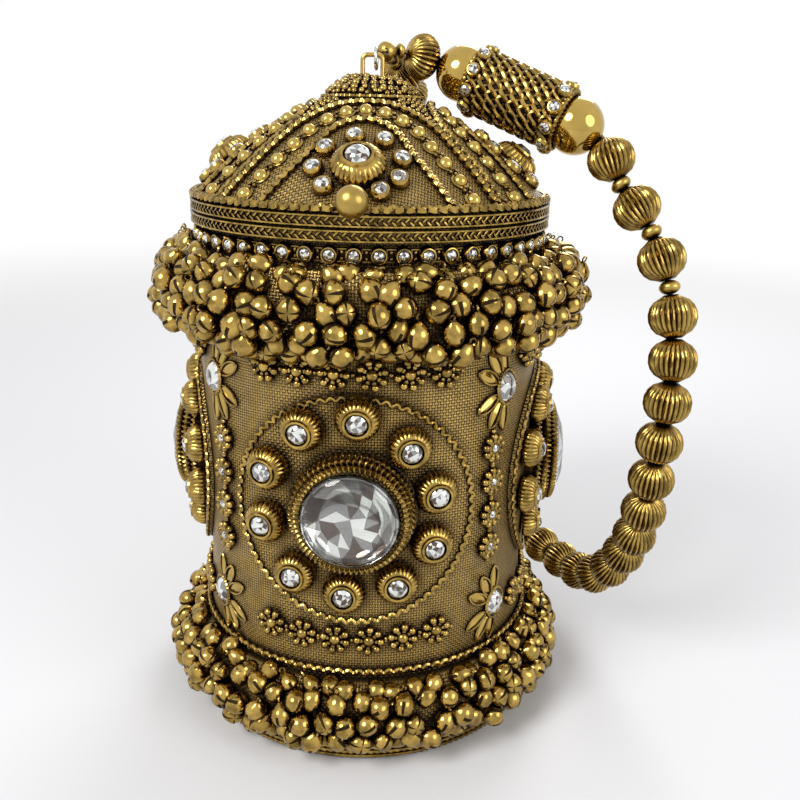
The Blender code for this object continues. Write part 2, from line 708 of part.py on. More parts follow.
def add_lid_trims(bm):
    """Cabochons along the four arches, and small stones round the four domes."""
    for face in range(FACES):
        middle = 2 * math.pi * face / FACES
        for index in range(CABOCHONS):
            across, out = arch_point((index + 0.5) / CABOCHONS)
            radius = math.hypot(across, out)
            azimuth = middle + math.atan2(across, out)
            add_cone(bm, lid_frame(azimuth, radius), CABOCHON_R, 0.6 * MM, CABOCHON_H, 5, 0.4 * MM)
        for index in range(LID_STONES):
            turn = 2 * math.pi * (index + 0.5) / LID_STONES
            across = LID_STONE_RING_R * math.sin(turn)
            radius = LID_DOME_AT_R - 0.82 * LID_STONE_RING_R * math.cos(turn)
            if radius > LID_EDGE_R - LID_STONE_R:
                continue
            azimuth = middle + across / radius
            add_cone(bm, lid_frame(azimuth, radius), LID_STONE_R, LID_STONE_R * 0.7, LID_STONE_H, 5,
                     0.4 * MM)


def build_crown(parent):
    """The mound of braid and granulation round the bail."""
    hole = BAIL_PLATE_R + GAP

    def section(azimuth):
        lobe = 0.5 * MM * math.cos(CROWN_LOBES * azimuth)
        outline = []
        for share, height in ((0.40, 1.0), (0.66, 0.85), (0.92, 0.4)):
            radius = share * CROWN_R
            low = lid_height(radius)
            outline.append((radius + lobe, low + GAP + (CROWN_TOP_Z - lid_height(0.0)) * height))
        edge = CROWN_R + lobe
        outline.append((edge, lid_height(edge) + GAP + 0.5 * MM))
        for radius in (edge, 0.7 * CROWN_R, hole):
            outline.append((radius, lid_height(radius) + GAP))
        outline.append((hole, outline[0][1] - 0.3 * MM))
        return outline

    add_object("lid_crown", mesh_from(lofted_ring(section, CROWN_LOBES * 2), "lid_crown"), PALE_GOLD,
               parent)


def build_bail(parent):
    """An inverted U of wire on a round plate at the apex."""
    plate_low = LID_APEX_Z + GAP
    plate_high = plate_low + BAIL_PLATE_T
    bail = turned("bail", [(0.0, plate_high), (BAIL_PLATE_R, plate_high), (BAIL_PLATE_R, plate_low),
                           (0.0, plate_low)], GOLD, parent, segments=16, ring=False)
    half = BAIL_WIDTH / 2
    corner = 1.4 * MM
    points = [Vector((-half, 0.0, plate_low + BAIL_PLATE_T / 2))]
    for step in range(5):
        turn = math.pi / 2 * step / 4
        points.append(Vector((-half + corner * (1 - math.cos(turn)), 0.0,
                              BAIL_Z - corner * (1 - math.sin(turn)))))
    points += [Vector((-point.x, 0.0, point.z)) for point in reversed(points)]
    hoop = wire("bail_hoop", points, BAIL_WIRE_R, GOLD)
    depsgraph = bpy.context.evaluated_depsgraph_get()
    mesh = bpy.data.meshes.new_from_object(hoop.evaluated_get(depsgraph))
    bm = bmesh.new()
    bm.from_mesh(mesh)
    bmesh.ops.remove_doubles(bm, verts=bm.verts, dist=0.01 * MM)
    bpy.data.objects.remove(hoop, do_unlink=True)
    modify_boolean(bail, bm, "UNION")


# Hinge and clasp
def build_hinge(drum_parent, lid_parent):
    near = RIM_R + GAP
    far = near + LEAF_PLATE_T
    gap = GAP
    leaf = bmesh.new()
    add_box(leaf, (-HINGE_HALF, near, SPLIT_Z - DRUM_LEAF_DROP), (HINGE_HALF, far, SPLIT_Z - 2.2 * MM))
    drum_leaf = add_object("hinge_leaf_drum", mesh_from(leaf, "hinge_leaf_drum"), GOLD, drum_parent)
    more = bmesh.new()
    for side in (-1, 1):
        ends = sorted((side * (HINGE_MIDDLE + gap), side * HINGE_HALF))
        add_box(more, (ends[0], near, SPLIT_Z - 3.0 * MM), (ends[1], far, SPLIT_Z))
        add_rod(more, (ends[0], HINGE_Y, SPLIT_Z), (ends[1], HINGE_Y, SPLIT_Z), KNUCKLE_R)
    modify_boolean(drum_leaf, more, "UNION")
    drum_leaf.modifiers["union"].use_self = True
    bore = bmesh.new()
    add_rod(bore, (-2 * HINGE_HALF, HINGE_Y, SPLIT_Z), (2 * HINGE_HALF, HINGE_Y, SPLIT_Z), HINGE_BORE_R)
    modify_boolean(drum_leaf, bore, "DIFFERENCE")

    leaf = bmesh.new()
    add_box(leaf, (-HINGE_MIDDLE, near, SPLIT_Z), (HINGE_MIDDLE, far, SPLIT_Z + LID_LEAF_RISE))
    lid_leaf = add_object("hinge_leaf_lid", mesh_from(leaf, "hinge_leaf_lid"), GOLD, lid_parent)
    more = bmesh.new()
    add_rod(more, (-HINGE_MIDDLE, HINGE_Y, SPLIT_Z), (HINGE_MIDDLE, HINGE_Y, SPLIT_Z), KNUCKLE_R)
    modify_boolean(lid_leaf, more, "UNION")
    bore = bmesh.new()
    add_rod(bore, (-HINGE_HALF, HINGE_Y, SPLIT_Z), (HINGE_HALF, HINGE_Y, SPLIT_Z), HINGE_BORE_R)
    modify_boolean(lid_leaf, bore, "DIFFERENCE")

    pin = bmesh.new()
    reach = HINGE_HALF + 0.6 * MM
    add_rod(pin, (-reach, HINGE_Y, SPLIT_Z), (reach, HINGE_Y, SPLIT_Z), HINGE_PIN_R)
    add_object("hinge_pin", mesh_from(pin, "hinge_pin"), GOLD, drum_parent)


def build_clasp(lid_parent, clasp_parent):
    """A ball knob on a stem through the lid, whose sprung tongue meets a keeper on the drum."""
    bushing = bmesh.new()
    add_rod(bushing, (0.0, BUSHING_OUT_Y, CLASP_Z), (0.0, BUSHING_IN_Y, CLASP_Z), BUSHING_R, 12)
    tube = add_object("clasp_bushing", mesh_from(bushing, "clasp_bushing"), GOLD, lid_parent)
    bore = bmesh.new()
    add_rod(bore, (0.0, BUSHING_OUT_Y - MM, CLASP_Z), (0.0, BUSHING_IN_Y + MM, CLASP_Z), STEM_R + GAP)
    modify_boolean(tube, bore, "DIFFERENCE")

    knob = bmesh.new()
    bmesh.ops.create_uvsphere(knob, u_segments=12, v_segments=8, radius=CLASP_BALL_R,
                              matrix=Matrix.Translation((0.0, CLASP_BALL_Y, CLASP_Z)))
    ball = add_object("clasp_ball", mesh_from(knob, "clasp_ball"), PALE_GOLD, clasp_parent)
    stem = bmesh.new()
    add_rod(stem, (0.0, CLASP_BALL_Y, CLASP_Z), (0.0, STEM_END_Y, CLASP_Z), STEM_R)
    modify_boolean(ball, stem, "UNION")

    near = STEM_END_Y + GAP
    half = TONGUE_W / 2
    strip = bmesh.new()
    add_box(strip, (-half, near, NOSE_Z - 0.5 * MM), (half, near + TONGUE_T, CLASP_Z + STEM_R))
    tongue = add_object("clasp_tongue", mesh_from(strip, "clasp_tongue"), GOLD, clasp_parent)
    nose = bmesh.new()
    add_box(nose, (-half, NOSE_TIP_Y, NOSE_Z - 0.5 * MM), (half, near + TONGUE_T / 2, NOSE_Z + 0.4 * MM))
    modify_boolean(tongue, nose, "UNION")

    plate = bmesh.new()
    back = -(WALL_R - WALL_T - GAP)
    wide = KEEPER_W / 2
    add_box(plate, (-wide, back + 0.6 * MM, RIM_BOTTOM_Z + 0.2 * MM),
            (wide, KEEPER_IN_Y, SPLIT_Z - SEAM / 2 - 0.2 * MM))
    add_object("clasp_keeper", mesh_from(plate, "clasp_keeper"), GOLD)


# Handle
def smooth_route(points, per_span=12):
    """Points on a Catmull-Rom curve through the hand-placed route."""
    route = [Vector(point) * MM for point in points]
    ends = [route[0] * 2 - route[1]] + route + [route[-1] * 2 - route[-2]]
    curve = []
    for before, start, end, after in zip(ends, ends[1:], ends[2:], ends[3:]):
        for step in range(per_span):
            t = step / per_span
            curve.append(0.5 * (2 * start + (end - before) * t
                                + (2 * before - 5 * start + 4 * end - after) * t ** 2
                                + (3 * start - before - 3 * end + after) * t ** 3))
    return curve + [route[-1]]


class Strand:
    """A route read by the distance run along it."""

    def __init__(self, points):
        self.points = smooth_route(points)
        self.run = [0.0]
        for first, second in zip(self.points, self.points[1:]):
            self.run.append(self.run[-1] + (second - first).length)
        self.length = self.run[-1]

    def at(self, distance):
        distance = min(max(distance, 0.0), self.length)
        for index in range(len(self.points) - 1):
            if distance <= self.run[index + 1]:
                span = self.run[index + 1] - self.run[index]
                share = (distance - self.run[index]) / span
                return self.points[index].lerp(self.points[index + 1], share)
        return self.points[-1]


MELON_SHAPE = ((0.02, 0.34), (0.27, 0.97), (0.73, 0.97), (0.98, 0.34))
SPACER_SHAPE = ((0.05, 0.5), (0.5, 1.0), (0.95, 0.5))


def lower_beads(strand):
    """Beads from the lower big ball round to the back end ball, as (kind, start, length)."""
    begin = BIG_BALL_R + BALL_AIR
    end = strand.length - END_BALL_R - GAP - SMALL_SPACER_L
    fixed = SPACED_MELONS * SPACER_L
    melons = int((end - begin - fixed) / (MELON_L + 0.1 * MM))
    slack = (end - begin - fixed - melons * MELON_L) / (melons + SPACED_MELONS)
    beads = []
    place = begin
    for index in range(melons):
        beads.append(("melon", place, MELON_L))
        place += MELON_L + slack
        if index < SPACED_MELONS:
            beads.append(("spacer", place, SPACER_L))
            place += SPACER_L + slack
    beads.append(("small", end, SMALL_SPACER_L))
    return beads


def upper_beads(strand):
    """The small spacer and the melon bead between the front end ball and the upper big ball."""
    melon = strand.length - BIG_BALL_R - BALL_AIR - FIRST_MELON_L
    return [("small", END_BALL_R + GAP, SMALL_SPACER_L), ("melon", melon, FIRST_MELON_L)]


def bead_stations(strand, beads):
    """Points along the strand with the radius of the wire or bead at each."""
    sizes = {"melon": (MELON_SHAPE, MELON_R), "spacer": (SPACER_SHAPE, SPACER_R),
             "small": (SPACER_SHAPE, SMALL_SPACER_R)}
    stations = []
    for kind, place, length in beads:
        shape, radius = sizes[kind]
        for share, size in shape:
            stations.append((strand.at(place + share * length), size * radius / WIRE_R))
    return stations


def build_handle(parent):
    first = Vector(UPPER_ROUTE[-1]) * MM
    second = Vector(LOWER_ROUTE[0]) * MM
    along = (second - first).normalized()
    upper = Strand(UPPER_ROUTE[:-1] + ((first - along * BALL_LEAD) / MM, first / MM))
    lower = Strand((second / MM, (second + along * BALL_LEAD) / MM) + LOWER_ROUTE[1:])
    reach = BIG_BALL_R + 0.5 * GAP
    stations = bead_stations(upper, upper_beads(upper))
    stations.append((first - along * reach, 1.0))
    stations.append((second + along * reach, 1.0))
    stations += bead_stations(lower, lower_beads(lower))
    points = [point for point, _ in stations]
    radii = [size for _, size in stations]
    wire("bead_string", points, WIRE_R, GOLD, parent, radii=radii)
    for name, centre in (("big_ball_upper", first), ("big_ball_lower", second)):
        add_bored_ball(name, centre, along, BIG_BALL_R, WIRE_R + GAP, parent, 12)
    for name, y in (("end_ball_front", END_BALL_FRONT_Y), ("end_ball_back", END_BALL_BACK_Y)):
        centre = Vector((SHANK_X, y, SHANK_Z))
        lie = Vector((0.0, 1.0, 0.0))
        add_bored_ball(name, centre, lie, END_BALL_R, RING_WIRE_R + GAP, parent, 10)
    build_barrel(first, second, parent)


def add_bored_ball(name, centre, along, radius, bore_r, parent, sides):
    sphere = bmesh.new()
    turn = along.to_track_quat("Z", "Y").to_matrix().to_4x4()
    bmesh.ops.create_uvsphere(sphere, u_segments=sides, v_segments=sides // 2 + 2, radius=radius,
                              matrix=Matrix.Translation(centre) @ turn)
    ball = add_object(name, mesh_from(sphere, name), PALE_GOLD, parent, roughness=0.12)
    bore = bmesh.new()
    add_rod(bore, centre - along * radius * 1.3, centre + along * radius * 1.3, bore_r, 8)
    modify_boolean(ball, bore, "DIFFERENCE")


def build_barrel(first, second, parent):
    """A chain-mail sleeve whose hollow ends hold the two big balls."""
    along = (second - first).normalized()
    half_span = (second - first).length / 2
    place = Matrix.Translation((first + second) / 2) @ along.to_track_quat("Z", "Y").to_matrix().to_4x4()
    half = BARREL_L / 2
    cup_r = BIG_BALL_R + 1.3 * GAP
    bore_r = WIRE_R + GAP
    mouth = math.sqrt(cup_r ** 2 - (half_span - half) ** 2)
    floor_turn = math.asin(bore_r / cup_r)
    mouth_turn = math.asin(mouth / cup_r)
    steps = 3
    upper = []
    for step in range(steps + 1):
        turn = floor_turn + (mouth_turn - floor_turn) * step / steps
        upper.append((cup_r * math.sin(turn), half_span - cup_r * math.cos(turn)))
    outer = [(BARREL_R * 0.94, half), (BARREL_R, half * 0.7), (BARREL_R, -half * 0.7),
             (BARREL_R * 0.94, -half)]
    lower = [(radius, -height) for radius, height in reversed(upper)]
    turned("barrel", outer + lower + upper, GOLD, parent, segments=16, place=place)


def build_jump_ring(parent):
    """A wire ring through the bail with a straight shank that carries the two end balls."""
    steps = 14
    points = [RING_CENTRE + Vector((0.0, RING_R * math.cos(2 * math.pi * step / steps),
                                    RING_R * math.sin(2 * math.pi * step / steps)))
              for step in range(steps)]
    ring = wire("jump_ring_hoop", points, RING_WIRE_R, GOLD, cyclic=True)
    depsgraph = bpy.context.evaluated_depsgraph_get()
    mesh = bpy.data.meshes.new_from_object(ring.evaluated_get(depsgraph))
    bpy.data.objects.remove(ring, do_unlink=True)
    hoop = add_object("jump_ring", mesh, (0.75, 0.73, 0.68), parent)
    turn = math.radians(40.0)
    leave = RING_CENTRE + Vector((0.0, RING_R * math.cos(turn), RING_R * math.sin(turn)))
    start = Vector((SHANK_X, SHANK_START_Y, SHANK_Z))
    bend = leave.lerp(start, 0.6) + Vector((0.3 * MM, -0.15 * MM, 0.1 * MM))
    points = [leave, bend, start, Vector((SHANK_X, SHANK_END_Y, SHANK_Z))]
    shank = wire("shank", points, RING_WIRE_R, GOLD)
    mesh = bpy.data.meshes.new_from_object(shank.evaluated_get(bpy.context.evaluated_depsgraph_get()))
    bpy.data.objects.remove(shank, do_unlink=True)
    bm = bmesh.new()
    bm.from_mesh(mesh)
    bmesh.ops.remove_doubles(bm, verts=bm.verts, dist=0.005 * MM)
    modify_boolean(hoop, bm, "UNION")


def build():
    build_base_and_walls()
    build_drum_rim()
    build_cover()
    build_hem_cord_and_chain()
    fringe("upper_bell_fringe", UPPER_FRINGE_TOP_Z, UPPER_FRINGE_H, UPPER_FRINGE_R)
    fringe("lower_bell_fringe", LOWER_FRINGE_TOP_Z, LOWER_FRINGE_H, LOWER_FRINGE_R)
    for face, name in enumerate(("front", "right", "back", "left")):
        build_medallion(face, name)
    lid_axis = joint_empty("lid_axis", (0.0, HINGE_Y, SPLIT_Z))
    clasp_axis = joint_empty("clasp_axis", (0.0, CLASP_BALL_Y, CLASP_Z), lid_axis)
    ring_axis = joint_empty("ring_axis", (0.0, 0.0, BAIL_Z), lid_axis)
    handle_axis = joint_empty("handle_axis", (SHANK_X, 0.0, SHANK_Z), ring_axis)
    build_lid(lid_axis)
    build_bail(lid_axis)
    build_hinge(None, lid_axis)
    build_clasp(lid_axis, clasp_axis)
    build_jump_ring(ring_axis)
    build_handle(handle_axis)


build()
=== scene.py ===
"""Looks for the beaded evening clutch: every sub-part as detailed geometry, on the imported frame."""
import random
from math import asin, atan2, cos, hypot, pi, radians, sin, sqrt

import bpy
import numpy as np
from mathutils import Matrix, Vector


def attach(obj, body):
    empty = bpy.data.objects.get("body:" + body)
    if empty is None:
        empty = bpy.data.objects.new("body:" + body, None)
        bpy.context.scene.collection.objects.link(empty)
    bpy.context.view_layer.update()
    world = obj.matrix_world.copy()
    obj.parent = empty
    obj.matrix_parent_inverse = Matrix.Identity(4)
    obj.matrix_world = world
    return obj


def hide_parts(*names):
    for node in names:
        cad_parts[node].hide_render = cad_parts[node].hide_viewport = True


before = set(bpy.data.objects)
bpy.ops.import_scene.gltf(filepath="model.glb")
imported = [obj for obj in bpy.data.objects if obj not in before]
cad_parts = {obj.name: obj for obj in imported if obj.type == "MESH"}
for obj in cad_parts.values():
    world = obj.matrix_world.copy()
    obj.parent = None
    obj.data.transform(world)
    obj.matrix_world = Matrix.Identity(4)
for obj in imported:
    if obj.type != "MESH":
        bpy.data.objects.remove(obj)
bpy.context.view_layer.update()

MM = 0.001
FULL = 2 * pi
QUARTER = pi / 2
FACES = ("front", "right", "back", "left")
rng = random.Random(7)

# Drum and lid surfaces, as in the CAD model
GAP = 0.35
WALL_R = 46.8
PANEL_R = 50.8
HEM_Z = 27.0
SHOULDER_Z = 112.0
COVER_TOP_Z = 145.6
COVER_FOOT_Z = 4.65
COVER_STOPS = ((4.3, 52.2), (HEM_Z, PANEL_R), (SHOULDER_Z, PANEL_R), (136.0, 48.3), (145.65, 48.3))
COVER_CORNER = 1.2
COVER_FACE = 2.6
LID_APEX_Z = 183.4
LID_EDGE_R = 50.6
LID_FALL = 30.1
LID_FOOT_Z = 152.95
LID_COVER_T = 1.2
PATCH_GAP = 0.6
PATCH_T = 0.9
PATCH_TOP = PATCH_GAP + PATCH_T
PATCH_Z = 75.0
PATCH_R = {"front": 33.4, "right": 31.0, "back": 33.4, "left": 31.0}
STONE_Z = 76.2
CLASP_Z = 156.0

# Colours, linear
GOLD = (0.56, 0.37, 0.095)
SHADED_GOLD = (0.26, 0.16, 0.04)
# Painted shade: a darker copy of the gold, for the bases that lie under other trims.
BRIGHT_GOLD = (0.55, 0.38, 0.10)
THREAD = (0.52, 0.345, 0.10)
SHADOW = (0.035, 0.022, 0.010)
LINING = (0.16, 0.10, 0.05)
CARD = (0.22, 0.15, 0.08)
STEEL = (0.62, 0.60, 0.56)
FLOOR = (0.80, 0.80, 0.82)
WHITE = (1.0, 1.0, 1.0)

# Weave: width of a strand, and the radius on which it is laid round the drum
WEAVE_PITCH = 0.78
WEAVE_R = 50.0


def in_scene(name, data):
    thing = bpy.data.objects.new(name, data)
    bpy.context.scene.collection.objects.link(thing)
    return thing


# Materials
def add_node(tree, kind, values=()):
    """A new node, with plain values in the inputs that are named."""
    node = tree.nodes.new(kind)
    for name, value in dict(values).items():
        node.inputs[name].default_value = value
    return node


def shader_of(name, colour, roughness, metallic, **more):
    made = bpy.data.materials.new(name)
    made.use_nodes = True
    shader = made.node_tree.nodes["Principled BSDF"]
    values = {"Base Color": (*colour, 1.0), "Roughness": roughness, "Metallic": metallic, **more}
    for socket, value in values.items():
        shader.inputs[socket].default_value = value
    return made, made.node_tree, shader


def link(tree, start, end):
    tree.links.new(start, end)


def textured(tree, kind, values):
    """A texture that is read in the object's own space."""
    node = add_node(tree, kind, values)
    link(tree, add_node(tree, "ShaderNodeTexCoord").outputs["Object"], node.inputs["Vector"])
    return node


def add_bump(tree, shader, height, strength, distance):
    bump = add_node(tree, "ShaderNodeBump", {"Strength": strength, "Distance": distance})
    link(tree, height, bump.inputs["Height"])
    link(tree, bump.outputs["Normal"], shader.inputs["Normal"])


def math_node(tree, operation, first, second=None):
    node = add_node(tree, "ShaderNodeMath")
    node.operation = operation
    for socket, value in zip(node.inputs, (first, second)):
        if value is None:
            continue
        if isinstance(value, (int, float)):
            socket.default_value = value
        else:
            link(tree, value, socket)
    return node.outputs[0]


def mix_colours(tree, factor, dark, light):
    """Dark where the factor is 0 and light where it is 1; each is a colour or a socket."""
    mix = add_node(tree, "ShaderNodeMix")
    mix.data_type = "RGBA"
    link(tree, factor, mix.inputs["Factor"])
    for name, colour in (("A", dark), ("B", light)):
        if isinstance(colour, tuple):
            mix.inputs[name].default_value = (*colour, 1.0)
        else:
            link(tree, colour, mix.inputs[name])
    return mix.outputs["Result"]


def painted_recess_shade(tree, colour, reach=1.6):
    """Painted shade: darkens a colour towards dark brown in the recesses, by ambient occlusion."""
    shade = add_node(tree, "ShaderNodeAmbientOcclusion", {"Distance": reach * MM})
    shade.samples = 6
    link(tree, colour, shade.inputs["Color"])
    return mix_colours(tree, math_node(tree, "POWER", shade.outputs["AO"], 2.6), SHADOW, colour)


def gold(name, colour, roughness=0.17, worn=0.6, grain=900.0, bump=0.12, recess=True):
    """Antique gold plate: darker patches of age, painted shade in the recesses unless recess is off, and a
    slightly uneven skin.
    """
    made, tree, shader = shader_of(name, colour, roughness, 1.0)
    noise = textured(tree, "ShaderNodeTexNoise", {"Scale": grain * 0.35, "Detail": 3.0})
    spread = add_node(tree, "ShaderNodeMapRange", {"From Min": 0.35, "From Max": 0.65})
    link(tree, noise.outputs["Fac"], spread.inputs["Value"])
    dark = tuple(channel * (1.0 - worn) for channel in colour)
    plate = mix_colours(tree, spread.outputs["Result"], dark, colour)
    # Painted shade: the plate is darkened in its recesses by ambient occlusion.
    link(tree, painted_recess_shade(tree, plate) if recess else plate, shader.inputs["Base Color"])
    fine = textured(tree, "ShaderNodeTexNoise", {"Scale": grain})
    add_bump(tree, shader, fine.outputs["Fac"], bump, 0.0002)
    return made


def tissue(name, round_drum):
    """Metallic basket weave, laid round the drum or flat over the lid, with painted shade between the threads
    and in the recesses.
    """
    made, tree, shader = shader_of(name, THREAD, 0.36, 0.85)

    def maths(operation, first, second=None):
        return math_node(tree, operation, first, second)

    place = add_node(tree, "ShaderNodeTexCoord")
    split = add_node(tree, "ShaderNodeSeparateXYZ")
    link(tree, place.outputs["Object"], split.inputs[0])
    across, along, z = split.outputs
    if round_drum:
        azimuth = maths("ARCTAN2", across, maths("MULTIPLY", along, -1.0))
        across, along = maths("MULTIPLY", azimuth, WEAVE_R * MM), z
    turn = pi / (WEAVE_PITCH * MM)
    warp = maths("SINE", maths("MULTIPLY", across, turn))
    weft = maths("SINE", maths("MULTIPLY", along, turn))
    over = maths("GREATER_THAN", maths("MULTIPLY", warp, weft), 0.0)
    under = maths("SUBTRACT", 1.0, over)
    height = maths("ADD", maths("MULTIPLY", over, maths("ABSOLUTE", warp)),
                   maths("MULTIPLY", under, maths("ABSOLUTE", weft)))
    noise = textured(tree, "ShaderNodeTexNoise", {"Scale": 260.0})
    # Painted shade: each thread darkens towards the gaps by the weave's height, mixed with random patches of
    # tone.
    gap_shade_and_patches = maths("MULTIPLY", maths("POWER", height, 2.4), maths("ADD", noise.outputs["Fac"], 0.45))
    threads = mix_colours(tree, gap_shade_and_patches, SHADOW, THREAD)
    # Painted shade in the recesses, by ambient occlusion.
    link(tree, painted_recess_shade(tree, threads, 3.0), shader.inputs["Base Color"])
    add_bump(tree, shader, height, 0.6, 0.0003)
    return made


def facet(name, colour, metallic):
    return shader_of(name, colour, 0.02, metallic, **{"Coat Weight": 1.0, "Coat Roughness": 0.02})[0]


def cloth(name, colour):
    """Plain satin or card, with a faint thread."""
    made, tree, shader = shader_of(name, colour, 0.7, 0.0)
    wave = textured(tree, "ShaderNodeTexWave", {"Scale": 600.0, "Distortion": 2.0})
    add_bump(tree, shader, wave.outputs["Fac"], 0.15, 0.0002)
    return made


ANTIQUE = gold("antique_gold", GOLD)
# Painted shade: the darker gold for bases under the plait strands, the crown granules and the bezel coils.
SHADED_BASE = gold("shaded_gold", SHADED_GOLD, 0.34)
BRIGHT = gold("bright_gold", BRIGHT_GOLD, 0.10, 0.2, 400.0, 0.03, False)
SATIN = gold("satin_gold", BRIGHT_GOLD, 0.3, 0.35, 500.0, 0.1)
# Painted shade: near-black gold on stud dishes, bell slits, the stone chain's tape and the barrel's core.
GAP_SHADE = gold("painted_gap_shade", SHADOW, 0.6, 0.3, recess=False)
DRUM_TISSUE = tissue("drum_tissue", True)
LID_TISSUE = tissue("lid_tissue", False)
# Painted reflections: grey and dark facet tones, given to facets at random, stand for the darker surroundings
# that clear stones reflect.
STONE_SET = (facet("facet_clear", (0.76, 0.78, 0.74), 0.8), facet("facet_grey_reflection", (0.27, 0.27, 0.26), 0.8),
             facet("facet_dark_reflection", (0.08, 0.05, 0.035), 0.7))
GLASS = shader_of("clear_glass", WHITE, 0.0, 0.0, **{"Transmission Weight": 1.0, "IOR": 1.52})[0]
SATIN_LINING = cloth("satin_lining", LINING)
CARD_BOARD = cloth("card", CARD)
STUDDED = (ANTIQUE, GAP_SHADE, *STONE_SET)
RING_STEEL = gold("ring_steel", STEEL, 0.2, 0.2)


# Shapes: (points in mm, faces of four point numbers, the last -1 in a triangle)
def polar(radius, angle, z):
    return radius * cos(angle), radius * sin(angle), z


def circle(radius, z, count, shift=0.0):
    """Points round Z, the first one turned by a share of their spacing."""
    return [polar(radius, FULL * (k + shift) / count, z) for k in range(count)]


def arc(whole, steps):
    return [whole * k / steps for k in range(steps + 1)]


def strip(rows, count, closed=False):
    """Quads between neighbouring rings of count points each."""
    faces = []
    for i in range(rows if closed else rows - 1):
        j = (i + 1) % rows
        for k in range(count):
            n = (k + 1) % count
            faces.append((i * count + k, i * count + n, j * count + n, j * count + k))
    return faces


def lathe(profile, segments, ribs=0, depth=0.0, closed=False):
    """Turns (radius, height, rib share) points about Z, outer side downwards."""
    points = []
    rings = []
    angles = np.arange(segments) * FULL / segments
    groove = 1.0 - np.abs(np.cos(ribs * angles / 2)) if ribs else np.zeros(segments)
    for radius, height, *share in profile:
        if radius < 1e-6:
            rings.append([len(points)] * segments)
            points.append((0.0, 0.0, height))
            continue
        cut = radius * (1.0 - depth * (share[0] if share else 1.0) * groove)
        rings.append(range(len(points), len(points) + segments))
        points += [polar(r, a, height) for r, a in zip(cut, angles)]
    faces = []
    pairs = list(zip(rings, rings[1:]))
    if closed:
        pairs.append((rings[-1], rings[0]))
    for upper, lower in pairs:
        for k in range(segments):
            n = (k + 1) % segments
            if upper[0] == upper[1]:
                faces.append((upper[0], lower[k], lower[n], -1))
            elif lower[0] == lower[1]:
                faces.append((upper[k], lower[0], upper[n], -1))
            else:
                faces.append((upper[k], lower[k], lower[n], upper[n]))
    return np.array(points), np.array(faces)


def ball(radius, segments, rings):
    return lathe([(radius * sin(t), radius * cos(t)) for t in arc(pi, rings)], segments)


def scaled(shape, x, y, z):
    points, faces = shape
    return points * np.array((x, y, z)), faces


def dome(radius, height, segments, rings):
    """A closed button with a flat back, slightly sunk."""
    profile = [(radius * sin(t), height * cos(t)) for t in arc(QUARTER, rings)]
    return lathe(profile + [(radius, -0.25 * height), (0.0, -0.25 * height)], segments)


def brilliant(radius, crown, pavilion):
    """A round stone: table, stars, kites and halves over a short cone; faces all flat."""
    points = circle(0.56 * radius, crown, 8) + circle(0.80 * radius, crown * 0.62, 8, 0.5)
    points += circle(radius, 0.0, 16) + [(0.0, 0.0, crown), (0.0, 0.0, -pavilion)]
    table, culet = 32, 33
    faces = []
    for k in range(8):
        n = (k + 1) % 8
        low = 16 + 2 * k
        faces += [(table, k, n, -1), (k, 8 + k, n, -1), (k, 8 + (k - 1) % 8, low, 8 + k),
                  (8 + k, low, low + 1, -1), (8 + k, low + 1, 16 + (2 * k + 2) % 16, -1)]
    faces += [(16 + k, culet, 16 + (k + 1) % 16, -1) for k in range(16)]
    return np.array(points), np.array(faces)


def facet_slots(faces, first, shares=(0.44, 0.31, 0.25)):
    """A tone for each facet of a stone, at random in these shares: clear, painted grey reflection and painted
    dark reflection.
    """
    return [first + rng.choices((0, 1, 2), shares)[0] for _ in faces]


def add_cut(pile, stone, place, first):
    pile.add(stone, place, facet_slots(stone[1], first))


def unit(vectors):
    return vectors / np.linalg.norm(vectors, axis=1)[:, None]


def tangents(path, closed):
    if closed:
        return np.roll(path, -1, axis=0) - np.roll(path, 1, axis=0)
    return np.gradient(path, axis=0)


def phases(length, pitch, count, closed):
    """The angle at each point of a path that turns once in about each pitch."""
    turns = max(1, round(length / pitch))
    return FULL * turns * np.arange(count) / (count if closed else count - 1)


def resample(points, normals, step, closed):
    """Evenly spaced points and normals along a path, and its length."""
    points = np.array(points, float)
    normals = np.array(normals, float)
    if closed:
        points = np.vstack((points, points[:1]))
        normals = np.vstack((normals, normals[:1]))
    run = np.concatenate(([0.0], np.cumsum(np.linalg.norm(np.diff(points, axis=0), axis=1))))
    count = max(3, int(round(run[-1] / step)))
    at = np.linspace(0.0, run[-1], count + 1)
    if closed:
        at = at[:-1]
    path = np.stack([np.interp(at, run, points[:, i]) for i in range(3)], axis=1)
    up = np.stack([np.interp(at, run, normals[:, i]) for i in range(3)], axis=1)
    return path, unit(up), run[-1]


def rope(points, normals, radius, pitch=0.0, strands=1, depth=0.2, sides=8, closed=False, step=0.0):
    """A cord on a path; with a pitch it is coiled or twisted."""
    path, up, length = resample(points, normals, step or (pitch / 5.0 if pitch else radius), closed)
    along = unit(tangents(path, closed))
    side = unit(np.cross(along, up))
    up = np.cross(side, along)
    count = len(path)
    phase = phases(length, pitch, count, closed) if pitch else np.zeros(count)
    rows = []
    for k in range(sides):
        a = FULL * k / sides
        swell = radius * (1.0 + (depth if pitch else 0.0) * np.cos(phase + strands * a))
        rows.append(path + side * (swell * cos(a))[:, None] + up * (swell * sin(a))[:, None])
    skin = np.stack(rows, axis=1).reshape(-1, 3)
    faces = strip(count, sides, closed)
    if not closed:
        for end in (0, count - 1):
            for k in range(sides):
                rim = (end * sides + k, end * sides + (k + 1) % sides)
                faces.append((len(skin), *(rim if end else reversed(rim)), -1))
            skin = np.vstack((skin, path[end]))
    return skin, np.array(faces)


# A sewn cord: length of one sway, pitch of its coil, depth of the coil and sides of its section
GIMP_SWAY_L = 2.8
GIMP_COIL = (1.1, 1, 0.13, 7)


